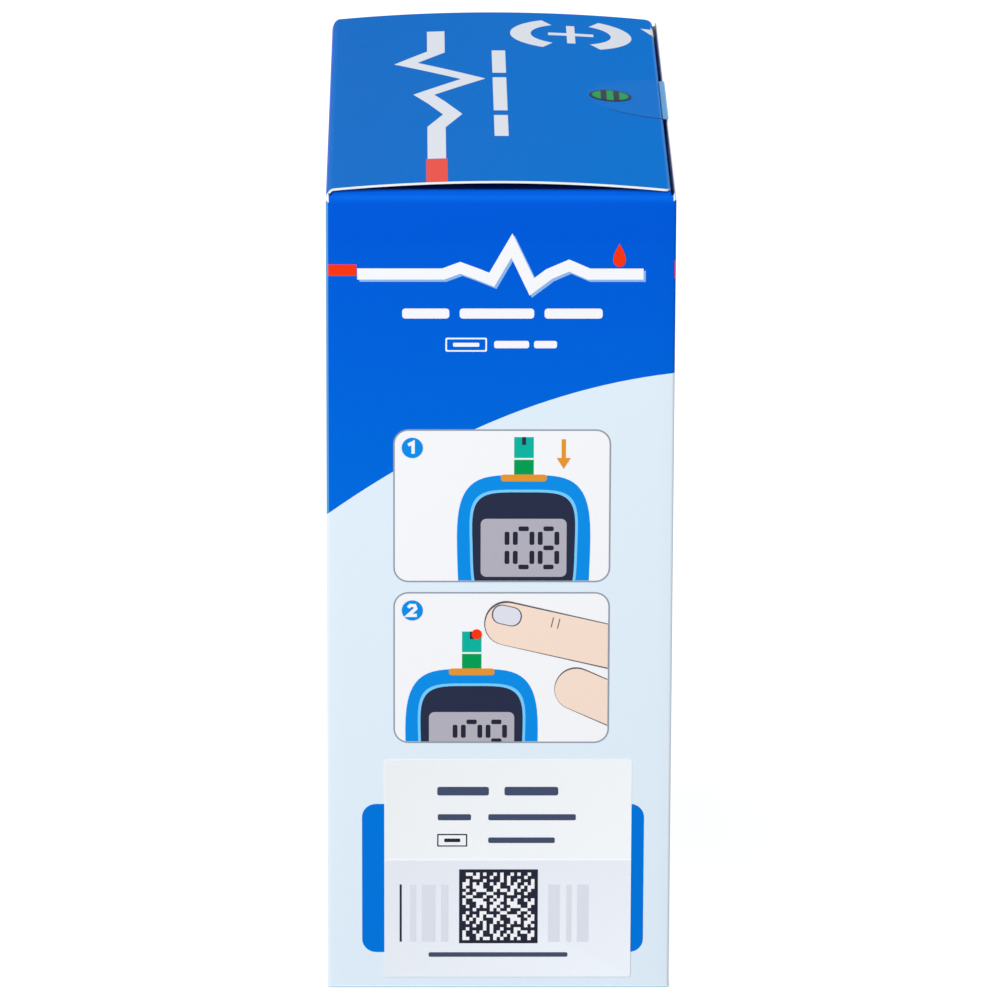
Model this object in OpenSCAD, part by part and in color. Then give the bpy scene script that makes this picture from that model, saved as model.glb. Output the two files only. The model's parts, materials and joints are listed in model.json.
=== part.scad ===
// Boxed blood glucose meter: a tuck-top folding carton on end, with the meter, its lancing
// device, a vial of test strips, spare lancets and a booklet inside.
// +Z is up, -Y is the carton's narrow front panel, and the origin is the middle of its base.

/* [Carton] */
// Width of the narrow front panel
carton_w = 64; // [58:1:72]
// Depth of the carton from front to back
carton_d = 126; // [124:1:150]
// Height of the carton at the lid's creases
carton_h = 155; // [140:1:175]
// Thickness of the carton's board
board = 0.45; // [0.35:0.05:0.6]
// Radius of the four upright creases
crease_r = 0.9; // [0.7:0.1:1.5]
// Rise of the closed lid's bow at its middle
lid_bow = 1.6; // [0.4:0.2:2.4]
// Slit between the closed tuck flap and the wall that it slides behind
tuck_slit = 0.7; // [0.6:0.1:1.2]
// Depth of the lid's tuck flap
tuck_depth = 12; // [8:1:12]
// Shortening of the tuck flap at each end
tuck_inset = 4; // [3:0.5:8]
// Depth of the front and rear dust flaps
dust_depth = 24; // [18:1:25]
// Cut-back of a dust flap beside the tuck flap
dust_cutback = 3.2; // [3:0.2:5]
// Width of the glued side seam inside the rear panel
seam_w = 12; // [8:1:16]

/* [Labels] */
// Width of the white label on the front panel
label_w = 46; // [38:1:50]
// Height of the white label
label_h = 43; // [36:1:50]
// Height of the code sticker on the label's lower half
code_h = 23.2; // [18:0.2:28]
// Height of the label's lower edge above the base
label_rise = 2.2; // [1:0.2:8]
// Shift of the label to the right
label_shift = 1.65; // [0:0.05:3]
// Thickness of a label, a sticker or the clear seal
film = 0.1; // [0.08:0.01:0.12]
// Radius of the clear round seal over the tuck edge
seal_r = 14; // [10:0.5:16]
// Place of the seal along the lid, from the middle
seal_y = 1; // [-20:1:20]
// Radius of the round sticker on the seal
dot_r = 4; // [3:0.1:4.4]

/* [Insert] */
// Thickness of the insert's board
insert_board = 0.6; // [0.5:0.1:1]
// Height of the shelf that the meter and the vial stand on
shelf_z = 17; // [16:0.5:22]
// Height of the die-cut deck above the shelf
deck_rise = 45; // [40:0.5:45]
// Thickness of the booklet
booklet_t = 2; // [1:0.5:2]
// Width of the booklet's page
booklet_w = 105; // [90:1:110]
// Height of the carton that the booklet's page leaves free
booklet_room = 7; // [5:0.5:20]
// Clearance round a piece that stands in the insert
pocket_gap = 0.5; // [0.4:0.1:0.8]

/* [Meter] */
// Room between the meter's widest place and each side of the carton
meter_side = 5; // [4.5:0.5:6]
// Length of the meter
meter_l = 85; // [77:1:92]
// Thickness of the meter
meter_t = 20.5; // [20:0.5:24]
// Place of the meter's face behind the carton's front panel
meter_setback = 26; // [25:1:30]
// Side wall of the meter's shells
shell_wall = 1.8; // [1.4:0.1:2]
// Front skin of the meter's front shell
shell_skin = 2.2; // [2:0.1:2.4]
// Depth of the front shell, to the parting line
parting = 11; // [10.6:0.1:12]
// Face of the meter on each side of the display lens
lens_side = 7; // [5:0.5:8]
// Height of the lens's lower edge above the meter's end
lens_low = 29.5; // [28.5:0.5:31]
// Distance from the lens's upper edge to the meter's strip end
lens_high = 9.5; // [9:0.5:11]
// Thickness of the display lens
lens_t = 1.2; // [0.8:0.1:1.4]
// Lens on each side of the display panel
lcd_side = 3; // [3:0.5:5]
// Lens above and below the display panel, halved between them
lcd_end = 8; // [8:0.5:10]
// Thickness of the display panel
lcd_t = 1.8; // [1.4:0.1:2]
// Length of a button
button_l = 9; // [7:0.5:10]
// Gap between the two buttons
button_split = 5; // [4:0.5:6]
// Height of the buttons' middle above the meter's end
button_v = 17; // [16:0.5:18]
// Travel of a button
button_travel = 0.55; // [0.3:0.05:0.6]
// Clearance between a button and its opening
button_gap = 0.25; // [0.2:0.05:0.4]
// Distance from the meter's face to its circuit board
board_depth = 7; // [6.8:0.1:7.4]
// Thickness of the circuit board
pcb_t = 1; // [0.8:0.1:1.2]
// Distance from a case screw's axis to the battery cover
cover_side = 4.4; // [4.4:0.1:5.4]
// Length of the battery cover
cover_l = 36; // [34:0.5:38]
// Thickness of the battery cover
cover_t = 1.8; // [1.4:0.1:2]
// Radius of the coin cell
cell_r = 10; // [8:0.5:10]
// Thickness of the coin cell
cell_t = 3.2; // [2.5:0.1:3.2]
// Height of the coin cell's middle above the meter's end
cell_v = 19; // [18.5:0.5:20]
// Width of the strip port's guide
port_w = 15.4; // [13:0.2:16]
// Width of a test strip
strip_w = 5.8; // [5:0.2:6.4]
// Thickness of a test strip
strip_t = 0.5; // [0.3:0.05:0.5]
// Length of a test strip
strip_l = 37; // [32:1:38]
// Distance from a case screw's axis to the meter's side
screw_side = 7.6; // [7.3:0.1:7.8]
// Shank radius of a case screw
screw_r = 0.95; // [0.8:0.05:1.1]

/* [Vial] */
// Outer radius of the strip vial
vial_r = 12.5; // [11.5:0.5:12.5]
// Height of the strip vial under its cap
vial_h = 48.5; // [48:0.5:52]
// Wall of the strip vial
vial_wall = 1.5; // [1:0.1:1.6]
// Height of the vial's cap
vial_cap_h = 7; // [5:0.5:9]
// Place of the vial and the lancing device behind the carton's middle
kit_y = 12; // [11:0.5:14]
// Number of test strips in the vial
strip_count = 10; // [4:1:12]

/* [Lancing device] */
// Outer radius of the lancing device
lancer_r = 8.5; // [8:0.1:9]
// Wall of the lancing device's barrel
lancer_wall = 1.6; // [1.2:0.1:1.7]
// Length of the cocking sleeve's grip
sleeve_l = 20; // [16:1:22]
// Travel of the cocking sleeve
sleeve_travel = 8; // [5:0.5:8]
// Length of the barrel
barrel_l = 56; // [55:1:58]
// Length of the depth dial
dial_l = 7.8; // [6:0.2:9]
// Length of the nose cap
nose_l = 19.5; // [18:0.5:21]
// Running clearance between sliding and turning pieces
running = 0.1; // [0.06:0.01:0.12]
// Wire radius of the two springs
wire_r = 0.35; // [0.25:0.05:0.4]

/* [Spare lancets] */
// Number of spare lancets in a row
lancet_cols = 5; // [2:1:5]
// Number of rows of spare lancets
lancet_rows = 2; // [1:1:2]
// Distance between spare lancets
lancet_pitch = 10.5; // [10:0.5:11]
// Body radius of a lancet
lancet_r = 2.7; // [2.3:0.1:2.7]
// Body length of a spare lancet
lancet_l = 20; // [18:0.5:22]
// Radius of a spare lancet's twist-off cap
twist_r = 4; // [3.5:0.1:4.4]

/* [Hidden] */

$fn = 64;
eps = 0.01;               // overshoot of a cut
fold_gap = 0.1;           // gap at a crease between two folded panels
seat_gap = 0.1;           // gap between a piece and the seat that it rests on

// Carton
inner_w = carton_w - 2 * board;
inner_d = carton_d - 2 * board;
lid_l = carton_w - board - tuck_slit;              // from the hinge crease to the tuck crease
lid_end = -carton_w / 2 + lid_l;
lid_d = carton_d - 0.6;
dust_top = carton_h - board - fold_gap;
wall_top = dust_top - board - fold_gap;
floor_top = 3 * board;
bottom_flap = 30;
insert_left = -inner_w / 2 + booklet_t + 3 * seat_gap;
insert_right = inner_w / 2 - seat_gap;
insert_w = insert_right - insert_left;
insert_mid = (insert_left + insert_right) / 2;
insert_half_d = inner_d / 2 - board - 2 * seat_gap;
deck_z = shelf_z + deck_rise;
booklet_h = carton_h - booklet_room;

// Meter, in its own frame: x across, v up from its end, w back from its face
meter_x = insert_mid;
meter_y = -carton_d / 2 + meter_setback;
meter_z = shelf_z + seat_gap;
meter_w = carton_w - 2 * meter_side;
edge_step = 2;            // depth of the stepped edge round each face
edge_inset = 1.3;         // inset of each face
shape_n = 4.5;            // squareness of the outline
shape_taper = 0.08;       // share by which the lower end is narrower
lens_w = meter_w - 2 * lens_side;
lens_l = meter_l - lens_low - lens_high;
lens_v = lens_low + lens_l / 2;
lens_recess = lens_t + 0.2;
lcd_w = lens_w - 2 * lcd_side;
lcd_l = lens_l - 2 * lcd_end;
lcd_v = lens_v - 2.5;
lcd_front = shell_skin + 0.1;
skin_back = 1.9;
cover_front = meter_t - cover_t;
bay_floor = 12.4;         // back face of the wall under the coin cell
bay_skin = 1;
screw_x = meter_w / 2 - screw_side;
screw_low = 14;
screw_high = meter_l - 12;
boss_r = 2.5;
button_flange = 0.7;      // overhang of a button's flange
boss_gap = 0.7;           // gap between the flange and the screw boss beside it
button_w = screw_x - boss_r - boss_gap - button_flange - button_split / 2;
button_pitch = button_w + button_split;
cover_w = 2 * (screw_x - cover_side);
head_r = 1.9;
head_t = 1.2;
head_seat = meter_t - 3.3;
port_l = 14;
port_slot_w = 4.6;        // depth of the strip slot behind the face
strip_slot_t = strip_t + 0.4;
board_back = board_depth + pcb_t;
chip_w = 9;
chip_x = 10;
chip_v = meter_l - 39;
port_chip_v = meter_l - 16;
port_chip_pitch = 7;
buzzer_r = 5.5;
buzzer_v = meter_l - 27;
back_label_l = meter_l - cover_l - 25;
back_label_v = cover_l + 10 + back_label_l / 2;

// Vial
vial_x = insert_left + 3 + pocket_gap + vial_r;
vial_z = shelf_z + seat_gap;
vial_top = vial_z + vial_h;
vial_cap_r = vial_r + 0.8;
vial_hinge_y = kit_y + vial_cap_r + 1.6;

// Lancing device, in its own frame: v up from the end of its cocking sleeve
lancer_x = (vial_x + vial_r + pocket_gap + insert_right) / 2;
collar_r = lancer_r + 1.5;
collar_v = sleeve_l + 18;
collar_t = 3;
lancer_z = deck_z + seat_gap - collar_v;
barrel_v = sleeve_l + 0.3;
barrel_top = barrel_v + barrel_l;
bore_r = lancer_r - lancer_wall;
neck_r = lancer_r - 1.5;
neck_wall = 1.2;
neck_l = 14;
rib_v = barrel_v + 24;    // seat of the drive spring
rib_t = 2;
drive_l = 12;
stem_r = 2.2;
tube_r = 5;               // outer radius of the cocking sleeve's tube
return_seat = barrel_v + 1.7;
return_turns = 4;
return_l = sleeve_travel + return_turns * 2 * wire_r + 0.2;
head_v = rib_v + rib_t + drive_l;
dial_v = barrel_top + 0.2;
nose_v = dial_v + dial_l + 0.2;
carrier_head_l = 12;
carrier_l = 22;
socket_v = head_v + carrier_head_l + 2;
tip_l = 2;                // length of each step of a lancet's point
fitted_l = lancet_l - tip_l - 1;
release_v = barrel_v + 34;
release_w = 6;
release_l = 10;
drive_turns = 7;

// ---------- shared shapes ----------

// Rounded rectangle from squares and circles
module rounded(w, h, r) {
    square([w - 2 * r, h], center = true);
    square([w, h - 2 * r], center = true);
    for (sx = [-1, 1], sy = [-1, 1])
        translate([sx * (w / 2 - r), sy * (h / 2 - r)]) circle(r);
}

// Soft-cornered outline, narrower towards its lower end
function squircle(w, h, n = 4.5, taper = 0, steps = 64) = [
    for (i = [0:steps - 1])
        let (a = 360 * (i + 0.5) / steps,
             u = sign(cos(a)) * pow(abs(cos(a)), 2 / n),
             v = sign(sin(a)) * pow(abs(sin(a)), 2 / n))
            [w / 2 * u * (1 - taper * (1 - v) / 2), h / 2 * v]
];

// Extrudes an outline drawn in x and z from depth y0 to depth y1
module slab(y0, y1) {
    translate([0, y1, 0]) rotate([90, 0, 0]) linear_extrude(y1 - y0) children();
}

// Tube along z
module tube(r_out, r_in, z0, z1) {
    translate([0, 0, z0]) difference() {
        cylinder(r = r_out, h = z1 - z0);
        translate([0, 0, -eps]) cylinder(r = r_in, h = z1 - z0 + 2 * eps);
    }
}

// Cylinder along z between two heights
module rod(r, z0, z1) {
    translate([0, 0, z0]) cylinder(r = r, h = z1 - z0);
}

// Coil spring with flat ends at z0 and z1
module coil(r, z0, z1, turns, wire = wire_r, sides = 6, steps = 16) {
    n = turns * steps;
    rise = z1 - z0 - 2 * wire;
    points = [for (i = [0:n], k = [0:sides - 1])
        let (a = 360 * i / steps, b = 360 * k / sides, d = r + wire * cos(b))
            [d * cos(a), d * sin(a), z0 + wire + rise * i / n + wire * sin(b)]];
    walls = [for (i = [0:n - 1], k = [0:sides - 1])
        let (p = i * sides, q = p + sides, m = (k + 1) % sides)
            [p + k, q + k, q + m, p + m]];
    ends = [[for (k = [0:sides - 1]) k], [for (k = [sides - 1:-1:0]) n * sides + k]];
    polyhedron(points, concat(walls, ends));
}

// ---------- carton ----------

// Height of the bowed lid's upper face
function lid_top(x) = carton_h + lid_bow * (1 - pow(2 * (x + carton_w / 2) / lid_l - 1, 2));

// Cross-section of a sheet that follows the lid's bow, raised above it
function bowed(x0, x1, raise, t, steps = 24) = concat(
    [for (i = [0:steps]) let (x = x0 + (x1 - x0) * i / steps) [x, lid_top(x) + raise]],
    [for (i = [steps:-1:0]) let (x = x0 + (x1 - x0) * i / steps) [x, lid_top(x) + raise - t]]);

module carton_sleeve() color("royalblue") {
    difference() {
        translate([0, 0, board]) linear_extrude(dust_top - board)
            rounded(carton_w, carton_d, crease_r);
        translate([0, 0, -eps]) linear_extrude(carton_h + 1)
            rounded(inner_w, inner_d, crease_r - board);
        for (s = [-1, 1])
            translate([0, s * carton_d / 2, carton_h])
                cube([inner_w + 0.2, 4 * board, 2 * (carton_h - wall_top)], center = true);
    }
    translate([-inner_w / 2 + crease_r, inner_d / 2 - board, floor_top + 5])
        cube([seam_w, board, wall_top - floor_top - 10]);
}

module top_lid() color("dodgerblue")
    slab(-lid_d / 2, lid_d / 2) polygon(bowed(-carton_w / 2, lid_end, 0, board));

module tuck_flap() color("dodgerblue")
    intersection() {
        translate([lid_end - board, -lid_d / 2 + tuck_inset, dust_top - tuck_depth])
            cube([board, lid_d - 2 * tuck_inset, tuck_depth]);
        translate([lid_end - board - 1, 0, dust_top]) rotate([90, 0, 90])
            linear_extrude(board + 2)
                rounded(lid_d - 2 * tuck_inset, 2 * tuck_depth, tuck_depth * 0.6);
    }

// Flap that folds in from the top of the front or rear panel
module dust_flap(side) {
    left = -inner_w / 2 + 0.2;
    right = inner_w / 2 - dust_cutback;
    slope = 0.7 * dust_depth;
    translate([0, 0, dust_top - board]) linear_extrude(board)
        polygon([[left, side * carton_d / 2], [right, side * carton_d / 2],
            [right, side * (carton_d / 2 - dust_depth + 6)],
            [right - 5, side * (carton_d / 2 - dust_depth)],
            [left + slope, side * (carton_d / 2 - dust_depth)],
            [left, side * (carton_d / 2 - 1)]]);
}

module front_dust_flap() color("aliceblue") dust_flap(-1);

module rear_dust_flap() color("aliceblue") dust_flap(1);

module bottom_outer_panel() color("lightblue")
    linear_extrude(board) rounded(carton_w, carton_d, crease_r);

module bottom_inner_panel() color("aliceblue")
    translate([-inner_w / 2 + 0.1, -inner_d / 2 + 0.1, board])
        cube([inner_w - 8, inner_d - 0.2, board]);

module bottom_flap_at(side)
    translate([0, side * (inner_d / 2 - 0.3 - bottom_flap / 2), 2.5 * board])
        cube([inner_w - 0.6, bottom_flap, board], center = true);

module bottom_front_flap() color("aliceblue") bottom_flap_at(-1);

module bottom_rear_flap() color("aliceblue") bottom_flap_at(1);

module front_label() color("white")
    translate([label_shift - label_w / 2, -carton_d / 2 - film, label_rise])
        cube([label_w, film, label_h]);

module code_sticker() color("whitesmoke")
    translate([label_shift - label_w / 2, -carton_d / 2 - 2 * film, label_rise])
        cube([label_w, film, code_h]);

module clear_seal() color("lightcyan") {
    intersection() {
        slab(-carton_d / 2, carton_d / 2)
            polygon(bowed(lid_end - seal_r, lid_end, film, film));
        translate([lid_end, seal_y, carton_h - 1]) cylinder(r = seal_r, h = lid_bow + 4);
    }
    bridge = carton_w / 2 + 2 * film - lid_end;
    translate([lid_end, seal_y - seal_r, carton_h]) cube([bridge, 2 * seal_r, film]);
    intersection() {
        translate([carton_w / 2 + film, seal_y, carton_h]) rotate([0, 90, 0])
            cylinder(r = seal_r, h = film);
        translate([carton_w / 2, seal_y - seal_r, carton_h - seal_r])
            cube([1, 2 * seal_r, seal_r + film]);
    }
}

module round_sticker() color("mediumseagreen")
    intersection() {
        slab(-carton_d / 2, carton_d / 2)
            polygon(bowed(lid_end - seal_r, lid_end, 2 * film, film));
        translate([lid_end - seal_r + dot_r + 0.4, seal_y, carton_h - 1])
            cylinder(r = dot_r, h = lid_bow + 4);
    }

// ---------- insert ----------

// Board folded into a flat top with a leg at the front and at the rear
module folded_insert(z0, z1) {
    translate([insert_left, -insert_half_d, z1 - insert_board])
        cube([insert_w, 2 * insert_half_d, insert_board]);
    for (s = [-1, 1])
        translate([insert_left, s > 0 ? insert_half_d - insert_board : -insert_half_d, z0])
            cube([insert_w, insert_board, z1 - z0]);
}

module insert_shelf() color("white")
    difference() {
        folded_insert(floor_top, shelf_z);
        translate([meter_x, meter_y + meter_t - 3.5, shelf_z - 1])
            linear_extrude(2) rounded(cover_w + 4, 9, 4);
        translate([lancer_x, kit_y, shelf_z - 1]) cylinder(r = lancer_r + 1, h = 2);
    }

module insert_deck() color("white")
    difference() {
        folded_insert(shelf_z, deck_z);
        translate([meter_x, meter_y + meter_t / 2, deck_z - 1]) linear_extrude(2)
            rounded(meter_w + 2 * pocket_gap, meter_t + 2 * pocket_gap + 1.6, 2);
        translate([vial_x, kit_y, deck_z - 1]) cylinder(r = vial_r + pocket_gap, h = 2);
        translate([lancer_x, kit_y, deck_z - 1]) cylinder(r = lancer_r + 0.4, h = 2);
        at_lancets() translate([0, 0, deck_z - 1]) cylinder(r = lancet_r + 0.3, h = 2);
    }

module booklet() color("gainsboro")
    translate([-inner_w / 2 + seat_gap, -booklet_w / 2, floor_top + seat_gap])
        cube([booklet_t, booklet_w, booklet_h]);

// Repeats a spare lancet at each hole of its rows
module at_lancets() {
    for (i = [0:lancet_cols - 1], j = [0:lancet_rows - 1])
        translate([insert_mid + (i - (lancet_cols - 1) / 2) * lancet_pitch,
            insert_half_d - 9 - j * lancet_pitch, 0]) children();
}

module spare_lancets() color("deepskyblue") at_lancets() {
    rod(lancet_r, deck_z - lancet_l, deck_z + seat_gap);
    rod(lancet_r / 1.5, deck_z - 1.15 * lancet_l, deck_z - lancet_l);
}

module twist_off_caps() color("white") at_lancets()
    rod(twist_r, deck_z + seat_gap, deck_z + seat_gap + 3);

// ---------- test strips ----------

module vial_body() color("whitesmoke") {
    translate([vial_x, kit_y, 0]) difference() {
        rod(vial_r, vial_z, vial_top);
        rod(vial_r - vial_wall, vial_z + vial_wall, vial_top + 1);
    }
    translate([vial_x - 3, kit_y + vial_r - 0.5, vial_top - 2.6])
        cube([6, vial_hinge_y - kit_y - vial_r + 1.7, 1.8]);
}

module vial_cap() color("dodgerblue") {
    translate([vial_x, kit_y, 0]) {
        rod(vial_cap_r, vial_top + seat_gap, vial_top + vial_cap_h);
        tube(vial_r - vial_wall - 0.4, vial_r - vial_wall - 1.6,
            vial_top - 2.5, vial_top + seat_gap + eps);
    }
    translate([vial_x - 3, kit_y + vial_cap_r - 1, vial_top + seat_gap])
        cube([6, vial_hinge_y - kit_y - vial_cap_r + 2.2, 2.4]);
}

module vial_liner() color("lightgray")
    translate([vial_x, kit_y, 0])
        tube(vial_r - vial_wall - 0.05, vial_r - vial_wall - 1.3,
            vial_z + vial_wall, vial_top - 6);

module test_strips() color("seagreen")
    for (i = [0:strip_count - 1])
        translate([vial_x - strip_w / 2, kit_y + (i - strip_count / 2) * (strip_t + 0.15),
            vial_z + vial_wall])
            cube([strip_w, strip_t, strip_l]);

// ---------- lancing device ----------

module at_lancer() translate([lancer_x, kit_y, lancer_z]) children();

module lancer_barrel() color("royalblue") at_lancer()
    difference() {
        union() {
            tube(lancer_r, bore_r, barrel_v, barrel_top);
            tube(collar_r, bore_r, collar_v, collar_v + collar_t);
            tube(bore_r + eps, tube_r + 2 * running, barrel_v, return_seat);
            tube(bore_r + eps, stem_r + 0.4, rib_v, rib_v + rib_t);
            tube(neck_r, neck_r - neck_wall, barrel_top - 1, barrel_top + neck_l);
            tube(bore_r + eps, neck_r - neck_wall, barrel_top - 2, barrel_top);
        }
        translate([0, -lancer_r, release_v]) rotate([90, 0, 0])
            translate([0, 0, -lancer_r / 2]) linear_extrude(lancer_r)
                rounded(release_w + 0.6, release_l + 0.6, 2.8);
    }

module cocking_sleeve() color("lightsteelblue") at_lancer() {
    difference() {
        rod(lancer_r, 0, sleeve_l);
        rod(tube_r - 1, 1.6, sleeve_l + 1);
    }
    tube(tube_r, tube_r - 1, sleeve_l - 1, return_seat + return_l + 1);
    tube(bore_r - running, tube_r - 1, return_seat + return_l, return_seat + return_l + 2);
}

module lancet_carrier() color("ghostwhite") at_lancer()
    difference() {
        union() {
            rod(stem_r, sleeve_l + 6, head_v + 1);
            rod(neck_r - neck_wall - 0.5, head_v, head_v + carrier_head_l);
            rod(lancet_r + 1.3, head_v + carrier_head_l - 1, head_v + carrier_l);
        }
        rod(lancet_r + 0.1, socket_v, head_v + carrier_l + 1);
    }

module drive_spring() color("silver") at_lancer()
    coil(stem_r + 1.4, rib_v + rib_t, head_v, drive_turns);

module return_spring() color("silver") at_lancer()
    coil((tube_r + bore_r) / 2, return_seat, return_seat + return_l, return_turns);

module release_button() color("white") at_lancer()
    slab(-lancer_r - 0.8, -bore_r + 0.5) translate([0, release_v])
        rounded(release_w, release_l, 2.5);

module depth_dial() color("white") at_lancer()
    difference() {
        rod(lancer_r + 0.3, dial_v, dial_v + dial_l);
        rod(neck_r + running, dial_v - 1, dial_v + dial_l + 1);
        for (i = [0:17])
            rotate(20 * i) translate([lancer_r + 0.3, 0, dial_v - 1])
                cylinder(r = 0.5, h = dial_l + 2);
    }

module nose_cap() color("royalblue") at_lancer()
    difference() {
        union() {
            rod(lancer_r, nose_v, nose_v + nose_l * 0.55);
            translate([0, 0, nose_v + nose_l * 0.55])
                cylinder(r1 = lancer_r, r2 = lancer_r - 3, h = nose_l * 0.45);
        }
        rod(neck_r + running, nose_v - 1, barrel_top + neck_l + 0.3);
        rod(lancer_r - 4, nose_v - 1, nose_v + nose_l - 1.6);
        rod(1.6, nose_v, nose_v + nose_l + 1);
    }

module fitted_lancet() color("deepskyblue") at_lancer() {
    tip_v = socket_v + fitted_l;
    rod(lancet_r, socket_v, tip_v);
    rod(lancet_r - 1.2, tip_v, tip_v + tip_l);
    rod(0.2, tip_v + tip_l, tip_v + 2 * tip_l);
}

// ---------- meter ----------

module at_meter() translate([meter_x, meter_y, meter_z]) children();

// The meter's outline, drawn in x and v, smaller by inset all round
module outline(inset = 0)
    translate([0, meter_l / 2])
        polygon(squircle(meter_w - 2 * inset, meter_l - 2 * inset, shape_n, shape_taper));

module at_screws() {
    for (s = [-1, 1], v = [screw_low, screw_high]) translate([s * screw_x, v]) children();
}

module at_buttons() {
    for (s = [-1, 1]) translate([s * button_pitch / 2, button_v]) children();
}

module front_shell() color("dodgerblue") at_meter()
    difference() {
        union() {
            slab(0, edge_step + eps) outline(edge_inset);
            difference() {
                slab(edge_step, parting) outline();
                slab(shell_skin, parting + eps) outline(shell_wall);
            }
            slab(shell_skin - eps, parting) at_screws() circle(boss_r);
        }
        slab(-eps, lens_recess) translate([0, lens_v])
            polygon(squircle(lens_w + 0.4, lens_l + 0.4, 5));
        slab(-eps, shell_skin + eps) translate([0, lcd_v]) rounded(lcd_w - 3, lcd_l - 3, 1.5);
        slab(-eps, shell_skin + eps) at_buttons()
            rounded(button_w + 2 * button_gap, button_l + 2 * button_gap, button_l / 2);
        slab(4.5, parting + eps) at_screws() circle(screw_r + 0.05);
        slab(-eps, board_depth + eps) translate([0, meter_l])
            square([port_w + 0.4, 2 * 5.6], center = true);
    }

module rear_shell() color("dodgerblue") at_meter()
    difference() {
        union() {
            difference() {
                slab(parting, meter_t - edge_step) outline();
                slab(parting - eps, meter_t - skin_back) outline(shell_wall);
            }
            slab(meter_t - edge_step - eps, meter_t) outline(edge_inset);
            slab(parting, meter_t - skin_back + eps) at_screws() circle(boss_r);
            intersection() {
                slab(bay_floor - bay_skin, meter_t - skin_back + eps) outline(0.5);
                slab(parting, meter_t) translate([0, (cover_l + 3) / 2 - 1])
                    square([cover_w + 3, cover_l + 5], center = true);
            }
        }
        slab(cover_front, meter_t + 1) translate([0, (cover_l + 0.2) / 2 - 1])
            square([cover_w + 0.4, cover_l + 2.2], center = true);
        slab(bay_floor, meter_t) translate([0, cell_v]) circle(cell_r + 0.3);
        slab(bay_floor, meter_t) translate([0, cell_v + cell_r])
            square([8, 5], center = true);
        slab(parting - 1, bay_floor + 1) translate([0, cell_v + cell_r + 1.7])
            square([6.6, 0.9], center = true);
        slab(parting - 1, bay_floor + 1) translate([0, cell_v]) circle(1.4);
        for (s = [-1, 1])
            slab(cover_front - 1.6, meter_t) translate([s * (cover_w / 2 - 2.5), 14])
                square([2.6, 36], center = true);
        slab(parting - 1, meter_t) at_screws() circle(screw_r + 0.2);
        slab(head_seat, meter_t + 1) at_screws() circle(head_r + 0.3);
    }

module display_lens() color("midnightblue") at_meter()
    slab(lens_recess - lens_t, lens_recess) translate([0, lens_v])
        polygon(squircle(lens_w, lens_l, 5));

module lcd_panel() color("lightslategray") at_meter()
    slab(lcd_front, lcd_front + lcd_t) translate([0, lcd_v])
        square([lcd_w, lcd_l], center = true);

module lcd_frame() color("white") at_meter()
    difference() {
        slab(lcd_front, board_depth) translate([0, lcd_v])
            square([lcd_w + 3, lcd_l + 3], center = true);
        slab(lcd_front - eps, lcd_front + lcd_t + 0.05) translate([0, lcd_v])
            square([lcd_w + 0.2, lcd_l + 0.2], center = true);
        slab(lcd_front, board_depth + eps) translate([0, lcd_v])
            square([lcd_w - 4, lcd_l - 2], center = true);
    }

module zebra_strips() color("dimgray") at_meter()
    for (s = [-1, 1])
        slab(lcd_front + lcd_t, board_depth) translate([0, lcd_v + s * (lcd_l / 2 - 2.4)])
            square([lcd_w - 6, 1.8], center = true);

module circuit_board() color("darkgreen") at_meter()
    slab(board_depth, board_back) difference() {
        intersection() {
            outline(shell_wall + 0.5);
            translate([0, meter_l / 2 - 2]) square([meter_w, meter_l - 4], center = true);
        }
        at_screws() circle(boss_r + 0.25);
    }

module board_chips() color("black") at_meter() {
    slab(board_back, board_back + 1.2) translate([-chip_x, chip_v])
        square([chip_w, chip_w], center = true);
    slab(board_back, board_back + 1) translate([chip_x, chip_v])
        square([chip_w / 1.8, chip_w / 1.5], center = true);
    for (i = [-2:2])
        slab(board_back, board_back + 0.8) translate([i * port_chip_pitch, port_chip_v])
            square([2, 1.2], center = true);
}

module buzzer() color("black") at_meter()
    slab(board_back, board_back + 2.4) translate([0, buzzer_v]) circle(buzzer_r);

module strip_port() color("darkorange") at_meter()
    difference() {
        union() {
            slab(lcd_front + 1, board_depth) translate([0, meter_l - 5.6 - port_l / 2])
                translate([0, 2]) square([port_w - 2, port_l - 4], center = true);
            slab(1.6, board_depth) translate([0, meter_l - 3.6])
                square([port_w, 4], center = true);
        }
        slab(port_slot_w, port_slot_w + strip_slot_t) translate([0, meter_l - 9])
            square([strip_w + 0.8, 20], center = true);
        slab(port_slot_w, board_depth + 1) translate([0, meter_l - 14])
            square([strip_w + 0.8, 8], center = true);
    }

module port_contacts() color("gold") at_meter()
    for (i = [0:3])
        slab(port_slot_w + strip_slot_t, board_depth)
            translate([(i - 1.5) * strip_w / 4, meter_l - 13]) square([0.8, 4], center = true);

module dome_switches() color("silver") at_meter()
    slab(board_depth - 0.4, board_depth) at_buttons() circle(3);

// Button cap with a flange behind the skin and a stem over its dome
module button_at(side) at_meter()
    translate([side * button_pitch / 2, 0, button_v]) {
        slab(-0.7, shell_skin + 1) rounded(button_w, button_l, button_l / 2 - 0.3);
        slab(shell_skin + 0.1, shell_skin + 1)
            rounded(button_w + 2 * button_flange, button_l + 2 * button_flange, button_l / 2);
        slab(shell_skin + 1 - eps, board_depth - 0.45 - button_travel) circle(2);
    }

module left_button() color("white") button_at(-1);

module right_button() color("white") button_at(1);

module minus_contact() color("gold") at_meter() translate([0, 0, cell_v]) {
    slab(bay_floor, bay_floor + 0.3) circle(5);
    slab(board_back, bay_floor + eps) circle(1);
}

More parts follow.
